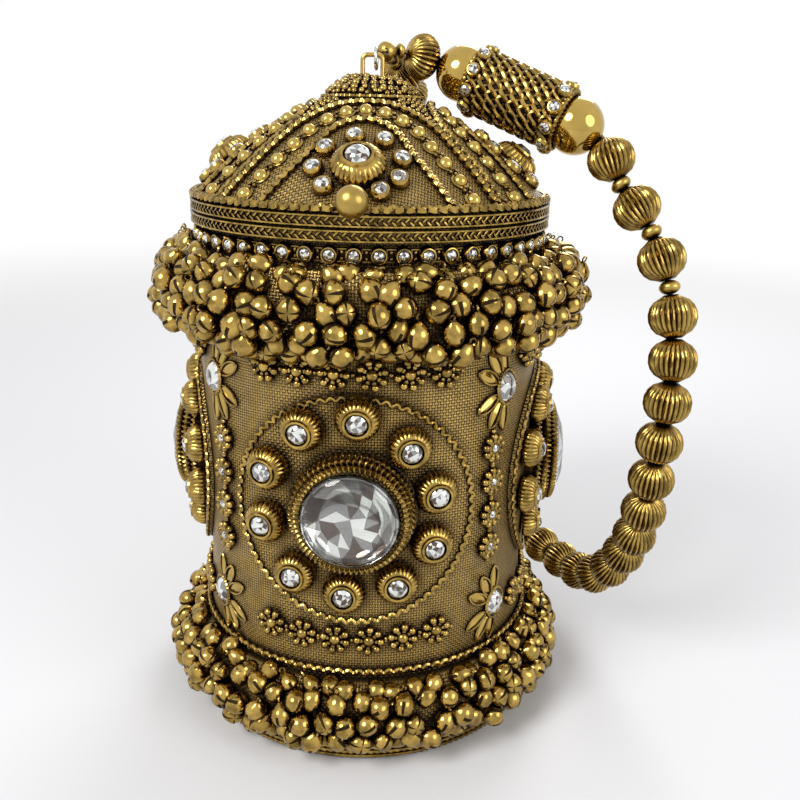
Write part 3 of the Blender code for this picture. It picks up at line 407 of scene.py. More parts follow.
def gimp(points, normals, radius, closed=False, sway=0.4):
    """A coiled wire cord that sways from side to side as it is sewn down."""
    path, up, length = resample(points, normals, GIMP_SWAY_L / 8, closed)
    side = unit(np.cross(tangents(path, closed), up))
    phase = phases(length, GIMP_SWAY_L, len(path), closed)
    return rope(path + side * (sway * np.sin(phase))[:, None], up, radius, *GIMP_COIL, closed=closed)


def ring_path(radius, z, count=240):
    angles = np.arange(count) * FULL / count
    points = np.stack((radius * np.sin(angles), -radius * np.cos(angles), np.full(count, z)), axis=1)
    normals = np.stack((np.sin(angles), -np.cos(angles), np.zeros(count)), axis=1)
    return points, normals


def fine_cord(radius, z, thick):
    """A thin coiled wire round the rim of a tape."""
    return rope(*ring_path(radius, z), thick, 1.3, 1, 0.22, 6, closed=True, step=0.43)


class Pile:
    """Shapes gathered into one object."""

    def __init__(self):
        self.points = []
        self.faces = []
        self.slots = []
        self.count = 0

    def add(self, shape, place=None, slot=0):
        points, faces = shape
        if place is not None:
            turn = np.array(place)
            points = points @ turn[:3, :3].T + turn[:3, 3]
        self.points.append(points)
        self.faces.append(np.where(faces < 0, -1, faces + self.count))
        self.slots.append(np.full(len(faces), slot) if np.isscalar(slot) else slot)
        self.count += len(points)

    def build(self, name, materials, body, replaces=(), smooth=40.0):
        points = np.concatenate(self.points) * MM
        faces = np.concatenate(self.faces)
        slots = np.concatenate(self.slots)
        corners = faces[faces >= 0]
        sizes = np.where(faces[:, 3] < 0, 3, 4)
        starts = np.concatenate(([0], np.cumsum(sizes)[:-1]))
        mesh = bpy.data.meshes.new(name)
        mesh.vertices.add(len(points))
        mesh.vertices.foreach_set("co", points.ravel())
        mesh.loops.add(len(corners))
        mesh.loops.foreach_set("vertex_index", corners.astype(np.int32))
        mesh.polygons.add(len(faces))
        mesh.polygons.foreach_set("loop_start", starts.astype(np.int32))
        for made in materials:
            mesh.materials.append(made)
        mesh.polygons.foreach_set("material_index", slots.astype(np.int32))
        mesh.update(calc_edges=True)
        mesh.validate()
        if smooth:
            mesh.shade_smooth()
            mesh.set_sharp_from_angle(angle=radians(smooth))
        thing = in_scene(name, mesh)
        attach(thing, body)
        if replaces:
            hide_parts(*replaces)
        return thing


# Places on the object
def cover_radius(azimuth, z):
    radius = float(np.interp(z, *zip(*COVER_STOPS)))
    if HEM_Z < z < SHOULDER_Z:
        waist = sin(pi * (z - HEM_Z) / (SHOULDER_Z - HEM_Z))
        facing = 0.5 + 0.5 * cos(4 * azimuth)
        radius += waist * (COVER_CORNER * (1 - facing) - COVER_FACE * facing)
    return radius


def lid_height(radius, drop=0.0):
    return LID_APEX_Z - LID_FALL * (radius / LID_EDGE_R) ** 1.5 - drop


def round_point(azimuth, radius, z):
    return Vector((radius * sin(azimuth), -radius * cos(azimuth), z))


def frame_matrix(along, out, place):
    turn = Matrix((along, out.cross(along), out)).transposed().to_4x4()
    turn.translation = place
    return turn


def round_place(azimuth, radius, z):
    """On an upright cylinder: X level, Y up, Z out."""
    along = Vector((cos(azimuth), sin(azimuth), 0.0))
    return frame_matrix(along, round_point(azimuth, 1.0, 0.0), round_point(azimuth, radius, z))


def cover_place(azimuth, z, lift=0.0):
    """On the tissue: X level, Y up the surface, Z out of it."""
    step = 0.01
    after = round_point(azimuth + step, cover_radius(azimuth + step, z), z)
    before = round_point(azimuth - step, cover_radius(azimuth - step, z), z)
    above = round_point(azimuth, cover_radius(azimuth, z + 0.5), z + 0.5)
    centre = round_point(azimuth, cover_radius(azimuth, z), z)
    along = (after - before).normalized()
    out = along.cross((above - centre).normalized()).normalized()
    return frame_matrix(along, out, centre + out * lift)


def lid_place(azimuth, radius, lift=0.0):
    """On the lid: X level, Z out of the surface."""
    slope = 1.5 * LID_FALL / LID_EDGE_R * sqrt(radius / LID_EDGE_R)
    out = round_point(azimuth, slope, 1.0).normalized()
    along = Vector((cos(azimuth), sin(azimuth), 0.0))
    return frame_matrix(along, out, round_point(azimuth, radius, lid_height(radius)) + out * lift)


def spun(place, angle, axis="Z"):
    return place @ Matrix.Rotation(angle, 4, axis)


def moved(place, x, y, z):
    return place @ Matrix.Translation((x, y, z))


def raised(place, z):
    return moved(place, 0, 0, z)


def sized(place, size):
    return place @ Matrix.Scale(size, 4)


def laid(places):
    """The path and the normals that a run of places makes."""
    points = [tuple(place.translation) for place in places]
    return points, [tuple(place.col[2].to_3d()) for place in places]


def run_along(points):
    """The distance from the first point to each one."""
    run = [0.0]
    for first, second in zip(points, points[1:]):
        run.append(run[-1] + (second - first).length)
    return run


def spline(points, per_span):
    """Catmull-Rom curve through points, which it passes through."""
    route = [Vector(point) for point in points]
    ends = [route[0] * 2 - route[1]] + route + [route[-1] * 2 - route[-2]]
    curve = []
    for before, start, end, after in zip(ends, ends[1:], ends[2:], ends[3:]):
        for step in range(per_span):
            t = step / per_span
            curve.append(0.5 * (2 * start + (end - before) * t
                                + (2 * before - 5 * start + 4 * end - after) * t ** 2
                                + (3 * start - before - 3 * end + after) * t ** 3))
    return curve + [route[-1]]


# Small trims used many times
SMALL_STONE = brilliant(1.0, 0.42, 0.5)
GRAIN = ball(1.0, 8, 5)
SPECK = ball(1.0, 6, 4)
RIB_SEGMENTS, RIBS = 104, 26
FLUTED = lathe([(0.47, 0.90, 0.0), (0.51, 1.0, 0.0), (0.60, 1.0, 0.0), (0.64, 0.88, 0.0), (0.74, 0.84, 0.3),
                (0.88, 0.68), (0.99, 0.42), (1.02, 0.2), (0.96, 0.02), (0.47, 0.02, 0.0)],
               RIB_SEGMENTS, RIBS, 0.07, closed=True)
COLLET = lathe([(0.60, 0.62), (0.68, 0.78), (0.80, 0.76), (0.94, 0.52), (1.0, 0.22), (0.96, 0.0),
                (0.60, 0.0)], 22, closed=True)


def add_set_stone(pile, place, radius, stone_slot=1, share=0.72):
    """A small clear stone in a round, rolled collet; share is the stone's part of the radius."""
    pile.add(COLLET, sized(place, radius))
    seat = sized(raised(place, radius * 0.66), radius * share)
    add_cut(pile, SMALL_STONE, spun(seat, rng.uniform(0, 1)), stone_slot)


def add_stud(pile, place, radius, height, dish, stone_z, stone_r, turn):
    """A fluted stud with a dish in painted shade and a stone in it."""
    pile.add(FLUTED, place @ Matrix.Diagonal((radius, radius, height, 1.0)))
    # The dish is in painted shade (second material).
    pile.add(dome(dish, 0.1, 24, 2), raised(place, 3.6), 1)
    add_cut(pile, SMALL_STONE, spun(sized(raised(place, stone_z), stone_r), turn), 2)


def add_flower(pile, place, radius, petals, stone=False):
    """A sewn flower of small granules, with a button or a tiny stone at its heart."""
    bead = radius * 0.28
    for k in range(petals):
        turn = spun(place, FULL * k / petals + 0.2)
        for shape, reach, size in ((GRAIN, 0.76, 1.0), (SPECK, 0.50, 0.9 if stone else 0.62)):
            pile.add(shape, sized(moved(turn, radius * reach, 0, bead * 0.7), bead * size))
    if stone:
        add_set_stone(pile, raised(place, bead * 0.3), radius * 0.42)
    else:
        pile.add(dome(radius * 0.42, radius * 0.46, 12, 4), raised(place, bead * 0.4))


def pointed_loop(half_width, half_length, z, count, pinch, *wire, **more):
    """A wire bent to an oval that is pointed at both ends of Y."""
    outline = []
    for k in range(count):
        t = FULL * k / count
        outline.append((half_width * sin(t) * abs(sin(t)) ** pinch, half_length * cos(t), z))
    return rope(outline, [(0, 0, 1)] * count, *wire, sides=6, closed=True, **more)


def leaf_blade(length, width, count=10):
    """A marquise leaf with a low ridge."""
    points = []
    faces = []
    for k, t in enumerate(arc(pi, count)):
        half = width / 2 * sin(t) ** 1.3 * 0.9
        y = length / 2 * cos(t) * 0.92
        points += [(-half, y, 0.1), (0.0, y, 0.35 + 0.35 * sin(t)), (half, y, 0.1)]
        if k < count:
            a = 3 * k
            faces += [(a, a + 3, a + 4, a + 1), (a + 1, a + 4, a + 5, a + 2)]
    return np.array(points), np.array(faces)


LEAF_L, LEAF_W = 8.2, 3.5
LEAF_WIRE = pointed_loop(LEAF_W / 2, LEAF_L / 2, 0.35, 24, 0.3, 0.33, step=0.6)
LEAF_BLADE = leaf_blade(LEAF_L, LEAF_W)


# Drum
def paint(name, made):
    """Gives a CAD node that is shown as it is a detailed material."""
    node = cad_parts[name]
    node.data.materials.clear()
    node.data.materials.append(made)


def build_drum_skin():
    """The tissue: closed outlines of (radius, z), one for each step round the drum."""
    heights = [145.6, 143.0, 140.0, 136.0, 132.0, 128.0, 124.0, 120.0, 116.0, SHOULDER_Z]
    heights += [SHOULDER_Z - (SHOULDER_Z - HEM_Z) * k / 34 for k in range(1, 35)]
    heights += [20.0, 12.0, COVER_FOOT_Z]
    inner = WALL_R + GAP
    steps = 120
    points = []
    for k in range(steps):
        a = FULL * k / steps
        outline = [(cover_radius(a, z), z) for z in heights] + [(inner, COVER_FOOT_Z), (inner, COVER_TOP_Z)]
        points += [(r * sin(a), -r * cos(a), z) for r, z in outline]
    pile = Pile()
    pile.add((np.array(points), np.array(strip(steps, len(heights) + 2, True))))
    pile.build("tissue_cover", [DRUM_TISSUE], "drum", ["drum_cover"])


# Flowers: height of the upper row and of the middle of the lower one, which climbs to its ends
UPPER_FLOWERS_Z = 113.4
LOWER_FLOWERS_Z = 36.3
FLOWER_STEP = radians(10.7)
ROW_END = radians(26.8)
LEAF_ANGLES = (-86, -58, -27, 27, 58, 86)
LEAF_REACH = 7.8


def build_drum_trims():
    flowers = Pile()
    columns = Pile()
    leaves = Pile()
    for face in range(4):
        middle = face * QUARTER
        for k in range(6):
            offset = (k - 2.5) * FLOWER_STEP
            azimuth = middle + offset
            for z in (UPPER_FLOWERS_Z, LOWER_FLOWERS_Z + 1.8 * (offset / ROW_END) ** 2):
                add_flower(flowers, spun(cover_place(azimuth, z), rng.uniform(0, 1)), 4.3, 8)
                for x in (-4.7, 4.7):
                    flowers.add(GRAIN, sized(moved(cover_place(azimuth, z, 0.3), x, 0, 0.2), 0.7))
        corner = middle + pi / 4
        for z in (90.0, 80.2, 70.4, 60.6):
            add_flower(columns, cover_place(corner, z), 4.0, 9, stone=True)
            for dz in (-4.6, 4.6):
                columns.add(GRAIN, sized(cover_place(corner, z + dz, 0.4), 0.8))
        side = 1 if face % 2 == 0 else -1
        for z in (106.2, 40.0):
            stone_at = corner + side * radians(5.5)
            add_marquise(leaves, cover_place(stone_at, z), 4.9, 3.8)
            for angle in LEAF_ANGLES:
                turn = radians(angle)
                azimuth = stone_at - side * LEAF_REACH * cos(turn) / PANEL_R
                place = cover_place(azimuth, z + LEAF_REACH * 1.05 * sin(turn), 0.05)
                place = spun(place, side * (QUARTER - turn))
                leaves.add(LEAF_WIRE, place)
                leaves.add(LEAF_BLADE, place, 1)
    flowers.build("bead_flowers", [ANTIQUE], "drum")
    columns.build("column_flowers", [ANTIQUE, *STONE_SET], "drum")
    leaves.build("marquise_sprays", [ANTIQUE, BRIGHT, *STONE_SET], "drum", smooth=30.0)


def add_marquise(pile, place, half_length, half_width):
    """A pointed oval stone in a coiled collet."""
    pile.add(pointed_loop(half_width, half_length, 0.7, 28, 0.2, 0.5, 1.0, 1, 0.2, step=0.3), place)
    stone = scaled(brilliant(1.0, 0.6, 0.4), half_width * 0.88, half_length * 0.86, 2.4)
    add_cut(pile, stone, raised(place, 0.9), 2)


def build_cords():
    """The hem cord and the coiled cords round the foot."""
    hem = Pile()
    hem.add(gimp(*ring_path(cover_radius(0.0, HEM_Z) + 1.0, HEM_Z), 0.7, closed=True))
    hem.build("hem_gimp", [ANTIQUE], "drum", ["hem_cord"])
    foot = Pile()
    for z, twist in ((1.05, 1), (2.5, -1), (3.95, 1)):
        foot.add(rope(*ring_path(54.4, z), 0.82, 1.9, twist, 0.18, 6, closed=True))
    foot.build("base_gimp", [ANTIQUE], "drum", ["base_braid"])


def add_tape(pile, outer, inner, low, high):
    """A flat band round the bag, in the second material."""
    band = [(outer, high), (outer, low), (inner, low), (inner, high)]
    pile.add(lathe(band, 120, closed=True), None, 1)


RIM_R = 51.6
PLAIT_STRANDS = 150


def build_plait(name, low, high, body, node):
    """A flat plait: two rows of slanting strands between two fine coiled cords."""
    pile = Pile()
    # The tape is in the darker gold: painted shade between the strands.
    add_tape(pile, RIM_R - 0.75, RIM_R - 1.2, low + 0.1, high - 0.1)
    for z in (low + 0.38, high - 0.38):
        pile.add(fine_cord(RIM_R - 0.45, z, 0.36))
    strand = scaled(SPECK, 1.3, 0.34, 0.40)
    for row, slant, shift in ((0.52, 1, 0.0), (-0.52, -1, 0.5)):
        for k in range(PLAIT_STRANDS):
            azimuth = FULL * (k + shift) / PLAIT_STRANDS
            pile.add(strand, spun(round_place(azimuth, RIM_R - 0.55, (low + high) / 2 + row), slant * 0.75))
    pile.build(name, [ANTIQUE, SHADED_BASE], body, [node])


CHAIN_STONES = 52
CHAIN_R = 48.65
CHAIN_LOW, CHAIN_Z, CHAIN_HIGH = 141.3, 142.8, 144.3


def build_cup_chain():
    """Clear stones in round collets, sewn side by side on a narrow tape under the rim."""
    pile = Pile()
    outer = CHAIN_R + 0.25
    # The tape is in painted shade, dark behind and between the collets.
    add_tape(pile, outer, CHAIN_R, CHAIN_LOW, CHAIN_HIGH)
    for z in (CHAIN_LOW, CHAIN_HIGH):
        pile.add(fine_cord(CHAIN_R + 0.35, z, 0.3))
    for k in range(CHAIN_STONES):
        azimuth = FULL * k / CHAIN_STONES
        add_set_stone(pile, round_place(azimuth, outer, CHAIN_Z), 2.45, 2, 0.6)
        for dz in (-0.8, 0.8):
            between = round_place(azimuth + pi / CHAIN_STONES, CHAIN_R + 0.6, CHAIN_Z + dz)
            pile.add(SPECK, sized(between, 0.5))
    pile.build("stone_chain", STUDDED, "drum", ["cup_chain"])


BELL_R = 3.3
BELL_RINGS = (16, 36, 60, 84, 104, 126, 150)
BELLS_PER_ROW = 56
# Rows of bells, each with its radius, height and mean tilt in degrees, and the tapes under them
UPPER_BELLS = ((53.6, 138.2, 40), (58.0, 136.4, -60), (60.6, 131.8, -50), (61.2, 126.6, -35),
               (60.2, 121.6, -25), (55.0, 119.8, -20))
UPPER_TAPES = ((54.0, 139.5), (57.0, 134.0), (58.0, 126.0), (55.0, 119.0), (51.4, 118.0), (49.8, 135.0),
               (49.2, 139.5))
LOWER_BELLS = ((55.0, 23.2, 40), (58.8, 20.2, -60), (60.9, 15.2, -50), (60.2, 10.6, -35), (56.6, 8.6, -20))
LOWER_TAPES = ((53.6, 24.4), (57.0, 20.0), (58.0, 13.0), (56.4, 7.5), (52.9, 7.0), (51.6, 24.4))


def bell_shape():
    """A small round bell: pointed shoulder, and two crossed slits that open its mouth, with painted shade on
    the faces along them.
    """
    angles = [radians(90 * arm + turn) for arm in range(4) for turn in (-9, 9, 32, 58)]
    turns = [radians(v) for v in BELL_RINGS]
    count = len(angles)
    points = []
    for turn in turns:
        mouth = max(0.0, sin(turn - 1.5))
        peak = max(0.0, 0.20 * (1.0 - turn / 0.63))
        for k, a in enumerate(angles):
            lip = k % 4 < 2
            r = sin(turn) + (0.10 * mouth if lip else 0.0)
            z = cos(turn) * (1.0 + (0.0 if lip else 0.10) * mouth) + peak
            points.append(polar(BELL_R * r, a, BELL_R * z))
    top, bottom = len(points), len(points) + 1
    points += [(0.0, 0.0, BELL_R * 1.2), (0.0, 0.0, -BELL_R * 0.96)]
    last = (len(turns) - 1) * count
    faces = []
    slots = []
    for k in range(count):
        n = (k + 1) % count
        faces += [(top, k, n, -1), (last + k, bottom, last + n, -1)]
        # Slot 1 puts painted shade on the faces at the slits.
        slots += [0, 1 if k % 4 == 0 else 0]
    for i, turn in enumerate(turns[:-1]):
        for k in range(count):
            n = (k + 1) % count
            faces.append((i * count + k, (i + 1) * count + k, (i + 1) * count + n, i * count + n))
            # Slot 1 puts painted shade on the faces along the slits.
            slots.append(1 if k % 4 == 0 and turn > 1.4 else 0)
    return (np.array(points), np.array(faces)), slots


def build_fringe(name, rows, tapes, node):
    """Rows of bells, each hung a little its own way, over the tapes they are sewn to."""
    pile = Pile()
    body, slots = bell_shape()
    loop = rope([(0.9 * cos(t), 0.0, 0.9 * sin(t)) for t in np.arange(8) * pi / 4],
                [(0, 1, 0)] * 8, 0.28, sides=3, closed=True, step=0.8)
    pile.add(lathe(tapes, 72, closed=True), None, 2)
    for row, (radius, z, tilt) in enumerate(rows):
        for k in range(BELLS_PER_ROW):
            azimuth = FULL * (k + 0.5 * (row % 2) + rng.uniform(-0.27, 0.27)) / BELLS_PER_ROW
            reach = radius + rng.uniform(-1.6, 0.7)
            hang = spun(round_place(azimuth, reach, z + rng.uniform(-1.5, 1.5)), -QUARTER, "X")
            hang = spun(hang, radians(tilt + rng.uniform(-70, 70)), "X")
            hang = spun(hang, radians(rng.uniform(-60, 60)), "Y")
            hang = spun(hang, rng.uniform(0, pi))
            hang = hang @ Matrix.Diagonal((*(rng.uniform(0.88, 1.04) for _ in range(3)), 1.0))
            pile.add(body, hang, slots)
            pile.add(loop, raised(hang, 4.4))
    pile.build(name, [ANTIQUE, GAP_SHADE, DRUM_TISSUE], "drum", [node], smooth=60.0)


# Studs round the front stone, as seen: reach, and degrees clockwise from the top
FRONT_STUDS = ((26.3, 3), (23.3, 39), (22.4, 77), (23.5, 115), (24.5, 150), (24.6, -175), (25.2, -141),
               (24.2, -103), (24.8, -66), (25.8, -30))
EVEN_STUDS = tuple((24.6, 3 + 36 * index) for index in range(10))
PATCH_STEPS = 96
STONE_RIM_R = 17.2


def patch_spot(middle, reach, turn):
    """Azimuth and height of a place on a patch."""
    return middle + reach * cos(turn) / PANEL_R, PATCH_Z + reach * sin(turn)


def build_medallion(face):
    """A patch with its scalloped cord, and ten fluted studs; then the bezel and the large stone."""
    name = FACES[face]
    middle = face * QUARTER
    size = PATCH_R[name]
    scale = size / PATCH_R["front"]
    seat = cover_radius(middle, STONE_Z) + PATCH_TOP + 0.7
    points = []
    shares = (1.0, 0.985, 0.9, 0.78, 0.66, 0.54)
    for share in shares:
        lift = 0.25 + (0.0 if share == 1.0 else PATCH_T)
        for k in range(PATCH_STEPS):
            azimuth, z = patch_spot(middle, share * size, FULL * k / PATCH_STEPS)
            points.append(tuple(round_point(azimuth, cover_radius(azimuth, z) + lift, z)))
    place = round_place(middle, seat, STONE_Z)
    for radius in (STONE_RIM_R, 12.0):
        points += [tuple(place @ Vector(point)) for point in circle(radius, 0.0, PATCH_STEPS)]
    patch = Pile()
    patch.add((np.array(points), np.array(strip(len(shares) + 2, PATCH_STEPS))))
    spots = [patch_spot(middle, size - 0.9, FULL * k / 240) for k in range(240)]
    edge = laid([cover_place(*spot, PATCH_TOP) for spot in spots])
    patch.add(gimp(*edge, 0.56, closed=True, sway=0.5), None, 1)
    patch.build(f"medallion_cloth_{name}", [DRUM_TISSUE, ANTIQUE], "drum", [f"medallion_patch_{name}"])

    studs = Pile()
    radius = 6.0 * scale
    for reach, turn in EVEN_STUDS if face else FRONT_STUDS:
        azimuth = middle + scale * reach * sin(radians(turn)) / PANEL_R
        z = STONE_Z + scale * reach * cos(radians(turn))
        add_stud(studs, cover_place(azimuth, z, PATCH_TOP), radius, 5.2, radius * 0.5, 4.9, radius * 0.45,
                 rng.uniform(0, 1))
    studs.build(f"medallion_studs_{name}", STUDDED, "drum", smooth=35.0)

    place = round_place(middle, seat + GAP, STONE_Z)
    bezel = Pile()
    # The bezel's body is in the darker gold: painted shade under and between the coils.
    bezel.add(lathe([(13.2, 6.9), (13.7, 6.9), (13.9, 6.5), (13.9, 4.4), (14.8, 2.6), (15.6, 0.9),
                     (16.0, 0.0), (12.4, 0.0), (12.4, 3.2), (13.2, 5.9)], 96, closed=True), place, 1)
    for radius, height, thick, pitch, strands in ((15.6, 1.2, 1.15, 1.5, 1), (15.0, 3.7, 1.35, 1.5, -1),
                                                  (14.2, 6.1, 1.1, 1.35, 1)):
        bezel.add(rope(circle(radius, height, 240), circle(0.7, 0.7, 240), thick, pitch, strands, 0.3,
                       closed=True), place)
    bezel.build(f"bezel_{name}", [ANTIQUE, SHADED_BASE], "drum", [f"medallion_bezel_{name}"])
    build_stone(name, place)


# Rings of the large stone: radius, height, count of points and share of a step that they are turned
STONE_RINGS = ((7.2, 9.9, 8, 0.0), (10.2, 9.25, 8, 0.5), (12.1, 8.3, 16, 0.5), (13.1, 7.35, 16, 0.0),
               (13.1, 6.95, 16, 0.0), (10.7, 5.8, 16, 0.5), (7.6, 4.9, 16, 0.0), (4.1, 4.1, 8, 0.25))
STONE_TABLE_Z = 9.9
STONE_TIP_Z = 3.5


def build_stone(name, place):
    """A glass crown over mirrored facets, in one closed mesh."""
    points = []
    rings = []
    for radius, z, count, shift in STONE_RINGS:
        rings.append(range(len(points), len(points) + count))
        points += circle(radius, z, count, shift)
    table, star, main, girdle, edge, outer, inner, last = rings
    top, tip = len(points), len(points) + 1
    points += [(0.0, 0.0, STONE_TABLE_Z), (0.0, 0.0, STONE_TIP_Z)]
    glass = []
    for k in range(8):
        n = (k + 1) % 8
        left, right = main[(2 * k - 1) % 16], main[2 * k]
        glass += [(top, table[k], table[n], -1), (table[k], star[k], table[n], -1),
                  (table[k], star[(k - 1) % 8], left, -1), (table[k], left, right, -1),
                  (table[k], right, star[k], -1), (star[k], right, main[2 * k + 1], -1)]
    backs = []
    for k in range(16):
        n = (k + 1) % 16
        glass += [(main[k], girdle[k], girdle[n], -1), (main[k], girdle[n], main[n], -1),
                  (girdle[k], edge[k], edge[n], girdle[n])]
        backs += [(edge[n], edge[k], outer[k], -1), (edge[n], outer[k], outer[n], -1),
                  (outer[k], inner[k], inner[n], -1), (outer[k], inner[n], outer[n], -1)]
    for k in range(8):
        n = (k + 1) % 8
        low, between, high = (inner[(2 * k + step) % 16] for step in range(3))
        backs += [(last[k], between, low, -1), (last[k], high, between, -1), (last[k], last[n], high, -1),
                  (tip, last[n], last[k], -1)]
    stone = Pile()
    # The mirrored back facets get painted reflections in three tones, at random.
    slots = [0] * len(glass) + facet_slots(backs, 1, (0.42, 0.34, 0.24))
    stone.add((np.array(points), np.array(glass + backs)), place, slots)
    stone.build(f"stone_{name}", [GLASS, *STONE_SET], "drum", [f"medallion_stone_{name}"], smooth=0)


# Lid: half of each arch by (azimuth in degrees, radius), and the small stones round its knob
OUTER_ARCH = ((43.6, 49.4), (43.4, 42.0), (43.0, 34.0), (41.0, 26.0), (30.0, 19.4), (15.0, 16.9), (0.0, 16.4))
CABOCHON_ARCH = ((36.0, 48.2), (34.8, 42.0), (32.0, 35.0), (28.5, 27.4), (15.0, 21.4), (0.0, 20.1))
INNER_ARCH = ((28.0, 49.6), (25.0, 42.0), (21.5, 36.0), (17.0, 28.4), (8.5, 24.8), (0.0, 24.0))
DOME_STONES = ((-3.3, 30.7), (10.1, 31.8), (15.9, 37.6), (13.4, 43.0), (7.2, 46.2), (-10.1, 45.2),
               (-15.7, 40.6), (-14.4, 34.6))
# Granules where the arches meet: radius, and azimuth to each side of the corner
CORNER_GRAINS = ((15.0, 0.13), (16.6, 0.11), (18.2, 0.08), (15.6, 0.22), (17.0, 0.2), (19.8, 0.06))
CLASP_OPENING = radians(4.8)


def lid_curve(marks, count):
    """A smooth path over the lid through (azimuth degrees, radius) marks, mirrored at azimuth 0."""
    half = [(r * sin(radians(a)), r * cos(radians(a)), 0.0) for a, r in marks]
    curve = spline(half + [(-x, y, 0.0) for x, y, _ in reversed(half[:-1])], 14)
    run = run_along(curve)
    azimuths = [atan2(p.x, p.y) for p in curve]
    reaches = [hypot(p.x, p.y) for p in curve]
    return [(float(np.interp(s, run, azimuths)), float(np.interp(s, run, reaches)))
            for s in np.linspace(0.0, run[-1], count)]


def build_lid_skin():
    inner_edge = LID_EDGE_R * ((LID_APEX_Z - LID_COVER_T - LID_FOOT_Z) / LID_FALL) ** (2 / 3)
    profile = [(r, lid_height(r)) for r in (LID_EDGE_R * (k / 24) ** 0.8 for k in range(25))]
    profile += [(LID_EDGE_R, LID_FOOT_Z), (inner_edge, LID_FOOT_Z)]
    profile += [(r, lid_height(r, LID_COVER_T)) for r in (inner_edge * (k / 12) ** 0.8
                                                          for k in range(11, -1, -1))]
    pile = Pile()
    pile.add(lathe(profile, 144))
    pile.build("lid_tissue_cover", [LID_TISSUE], "lid", ["lid_cover"])


def build_lid_trims():
    """Cords and granules over the tissue, cabochons, and a ringed stud on each quarter."""
    cords = Pile()
    beads = Pile()
    saucer = lathe([(2.2, 0.45), (2.5, 0.25), (2.5, -0.2), (1.6, -0.2), (1.6, 0.45)], 14, closed=True)
    turns = np.linspace(CLASP_OPENING, FULL - CLASP_OPENING, 240)
    points = [tuple(round_point(turn, 50.3, 153.9)) for turn in turns]
    cords.add(gimp(points, [(x / 90, y / 90, 0.85) for x, y, _ in points], 0.95, sway=0.5))
    for face in range(4):
        middle = face * QUARTER
        for marks, radius in ((OUTER_ARCH, 0.86), (INNER_ARCH, 0.8)):
            cords.add(gimp(*laid([lid_place(middle + a, r, 0.6) for a, r in lid_curve(marks, 120)]), radius))
        for azimuth, reach in lid_curve(CABOCHON_ARCH, 15):
            place = lid_place(middle + azimuth, reach, 0.05)
            beads.add(dome(2.0, 1.95, 14, 5), place, 1)
            beads.add(saucer, place)
        for azimuth, reach in lid_curve(CABOCHON_ARCH, 29)[1::2]:
            place = lid_place(middle + azimuth, reach, 0.3)
            for k in range(4):
                turn = spun(place, azimuth * 1.6 + pi / 4 + QUARTER * k)
                beads.add(SPECK, sized(moved(turn, 1.0, 0, 0.1), 0.6))
        corner = middle + pi / 4
        for k in range(26):
            beads.add(GRAIN, sized(lid_place(corner, 15.0 + 34.0 * k / 25, 0.45), 0.7))
        for reach, turn in CORNER_GRAINS:
            for side in (-turn, turn):
                beads.add(GRAIN, sized(lid_place(corner + side, reach, 0.45), 0.8))
        for azimuth, reach in DOME_STONES:
            add_set_stone(beads, lid_place(middle + radians(azimuth), reach), 2.75, 2, 0.74)
        knob = Pile()
        add_stud(knob, lid_place(middle, 40.0, GAP), 6.9, 5.0, 3.5, 4.7, 3.15, 0.0)
        name = FACES[face]
        knob.build(f"lid_knob_{name}", STUDDED, "lid", [f"lid_dome_{name}"], smooth=35.0)
    cords.build("lid_gimp", [ANTIQUE], "lid")
    beads.build("lid_cabochons", [ANTIQUE, BRIGHT, *STONE_SET], "lid")


# Rows of granules on the crown: radius, height, count and size
CROWN_ROWS = ((12.4, 181.0, 44, 0.85), (11.4, 182.0, 30, 1.15), (9.8, 183.2, 26, 1.15), (8.0, 184.2, 24, 1.0),
              (6.4, 184.8, 18, 1.0), (5.0, 185.0, 16, 0.8))


def build_crown():
    """The mound at the apex: rows of granules above a coiled cord, climbing to the bail."""
    pile = Pile()
    base = [(r, lid_height(r) + GAP) for r in (12.4, 8.0, 4.3)]
    mound = [(4.3, 184.5), (5.6, 184.4), (8.0, 183.7), (11.0, 181.6), (12.4, lid_height(12.4) + 0.9)]
    # The mound under the granules is in the darker gold: painted shade between them.
    pile.add(lathe(mound + base, 72, closed=True), None, 1)
    for radius, z, count, size in CROWN_ROWS:
        for k in range(count):
            azimuth = FULL * (k + rng.uniform(-0.2, 0.2)) / count + radius
            place = round_place(azimuth, radius + rng.uniform(-0.35, 0.35), z + rng.uniform(-0.35, 0.3))
            pile.add(GRAIN, sized(place, size * rng.uniform(0.8, 1.1)))
    points, _ = ring_path(13.5, lid_height(13.5) + 0.5)
    pile.add(gimp(points, [(0, 0, 1)] * len(points), 0.7, closed=True))
    pile.build("crown_granules", [ANTIQUE, SHADED_BASE], "lid", ["lid_crown"])

    bail = Pile()
    bail.add(lathe([(0.0, 185.0), (3.2, 185.0), (3.8, 184.6), (3.9, 183.75), (0.0, 183.75)], 32))
    half, corner = 2.8, 1.4
    path = [(-half, 0.0, 184.2), (-half, 0.0, 187.0)]
    path += [(-half + corner * (1 - cos(t)), 0.0, 191.0 - corner * (1 - sin(t)))
             for t in arc(QUARTER, 8)]
    path += [(-x, y, z) for x, y, z in reversed(path)]
    bail.add(rope(path, [(0, 1, 0)] * len(path), 0.65, sides=12, step=0.35))
    bail.build("bail_wire", [BRIGHT], "lid", ["bail"])


def build_clasp():
    """The ball knob, its collar and its stem."""
    pile = Pile()
    spin = spun(Matrix.Translation((0, -55.6, CLASP_Z)), QUARTER, "X")
    pile.add(ball(3.9, 40, 24), spin)
    pile.add(lathe([(0.0, 0.0), (1.0, 0.0), (1.0, -16.2), (0.0, -16.2)], 20), spin)
    collar = [(1.1, -3.5), (1.6, -3.55), (1.7, -3.8), (1.6, -4.1), (1.1, -4.2)]
    pile.add(lathe(collar, 32, closed=True), spin)
    pile.build("clasp_knob", [SATIN], "clasp", ["clasp_ball"])


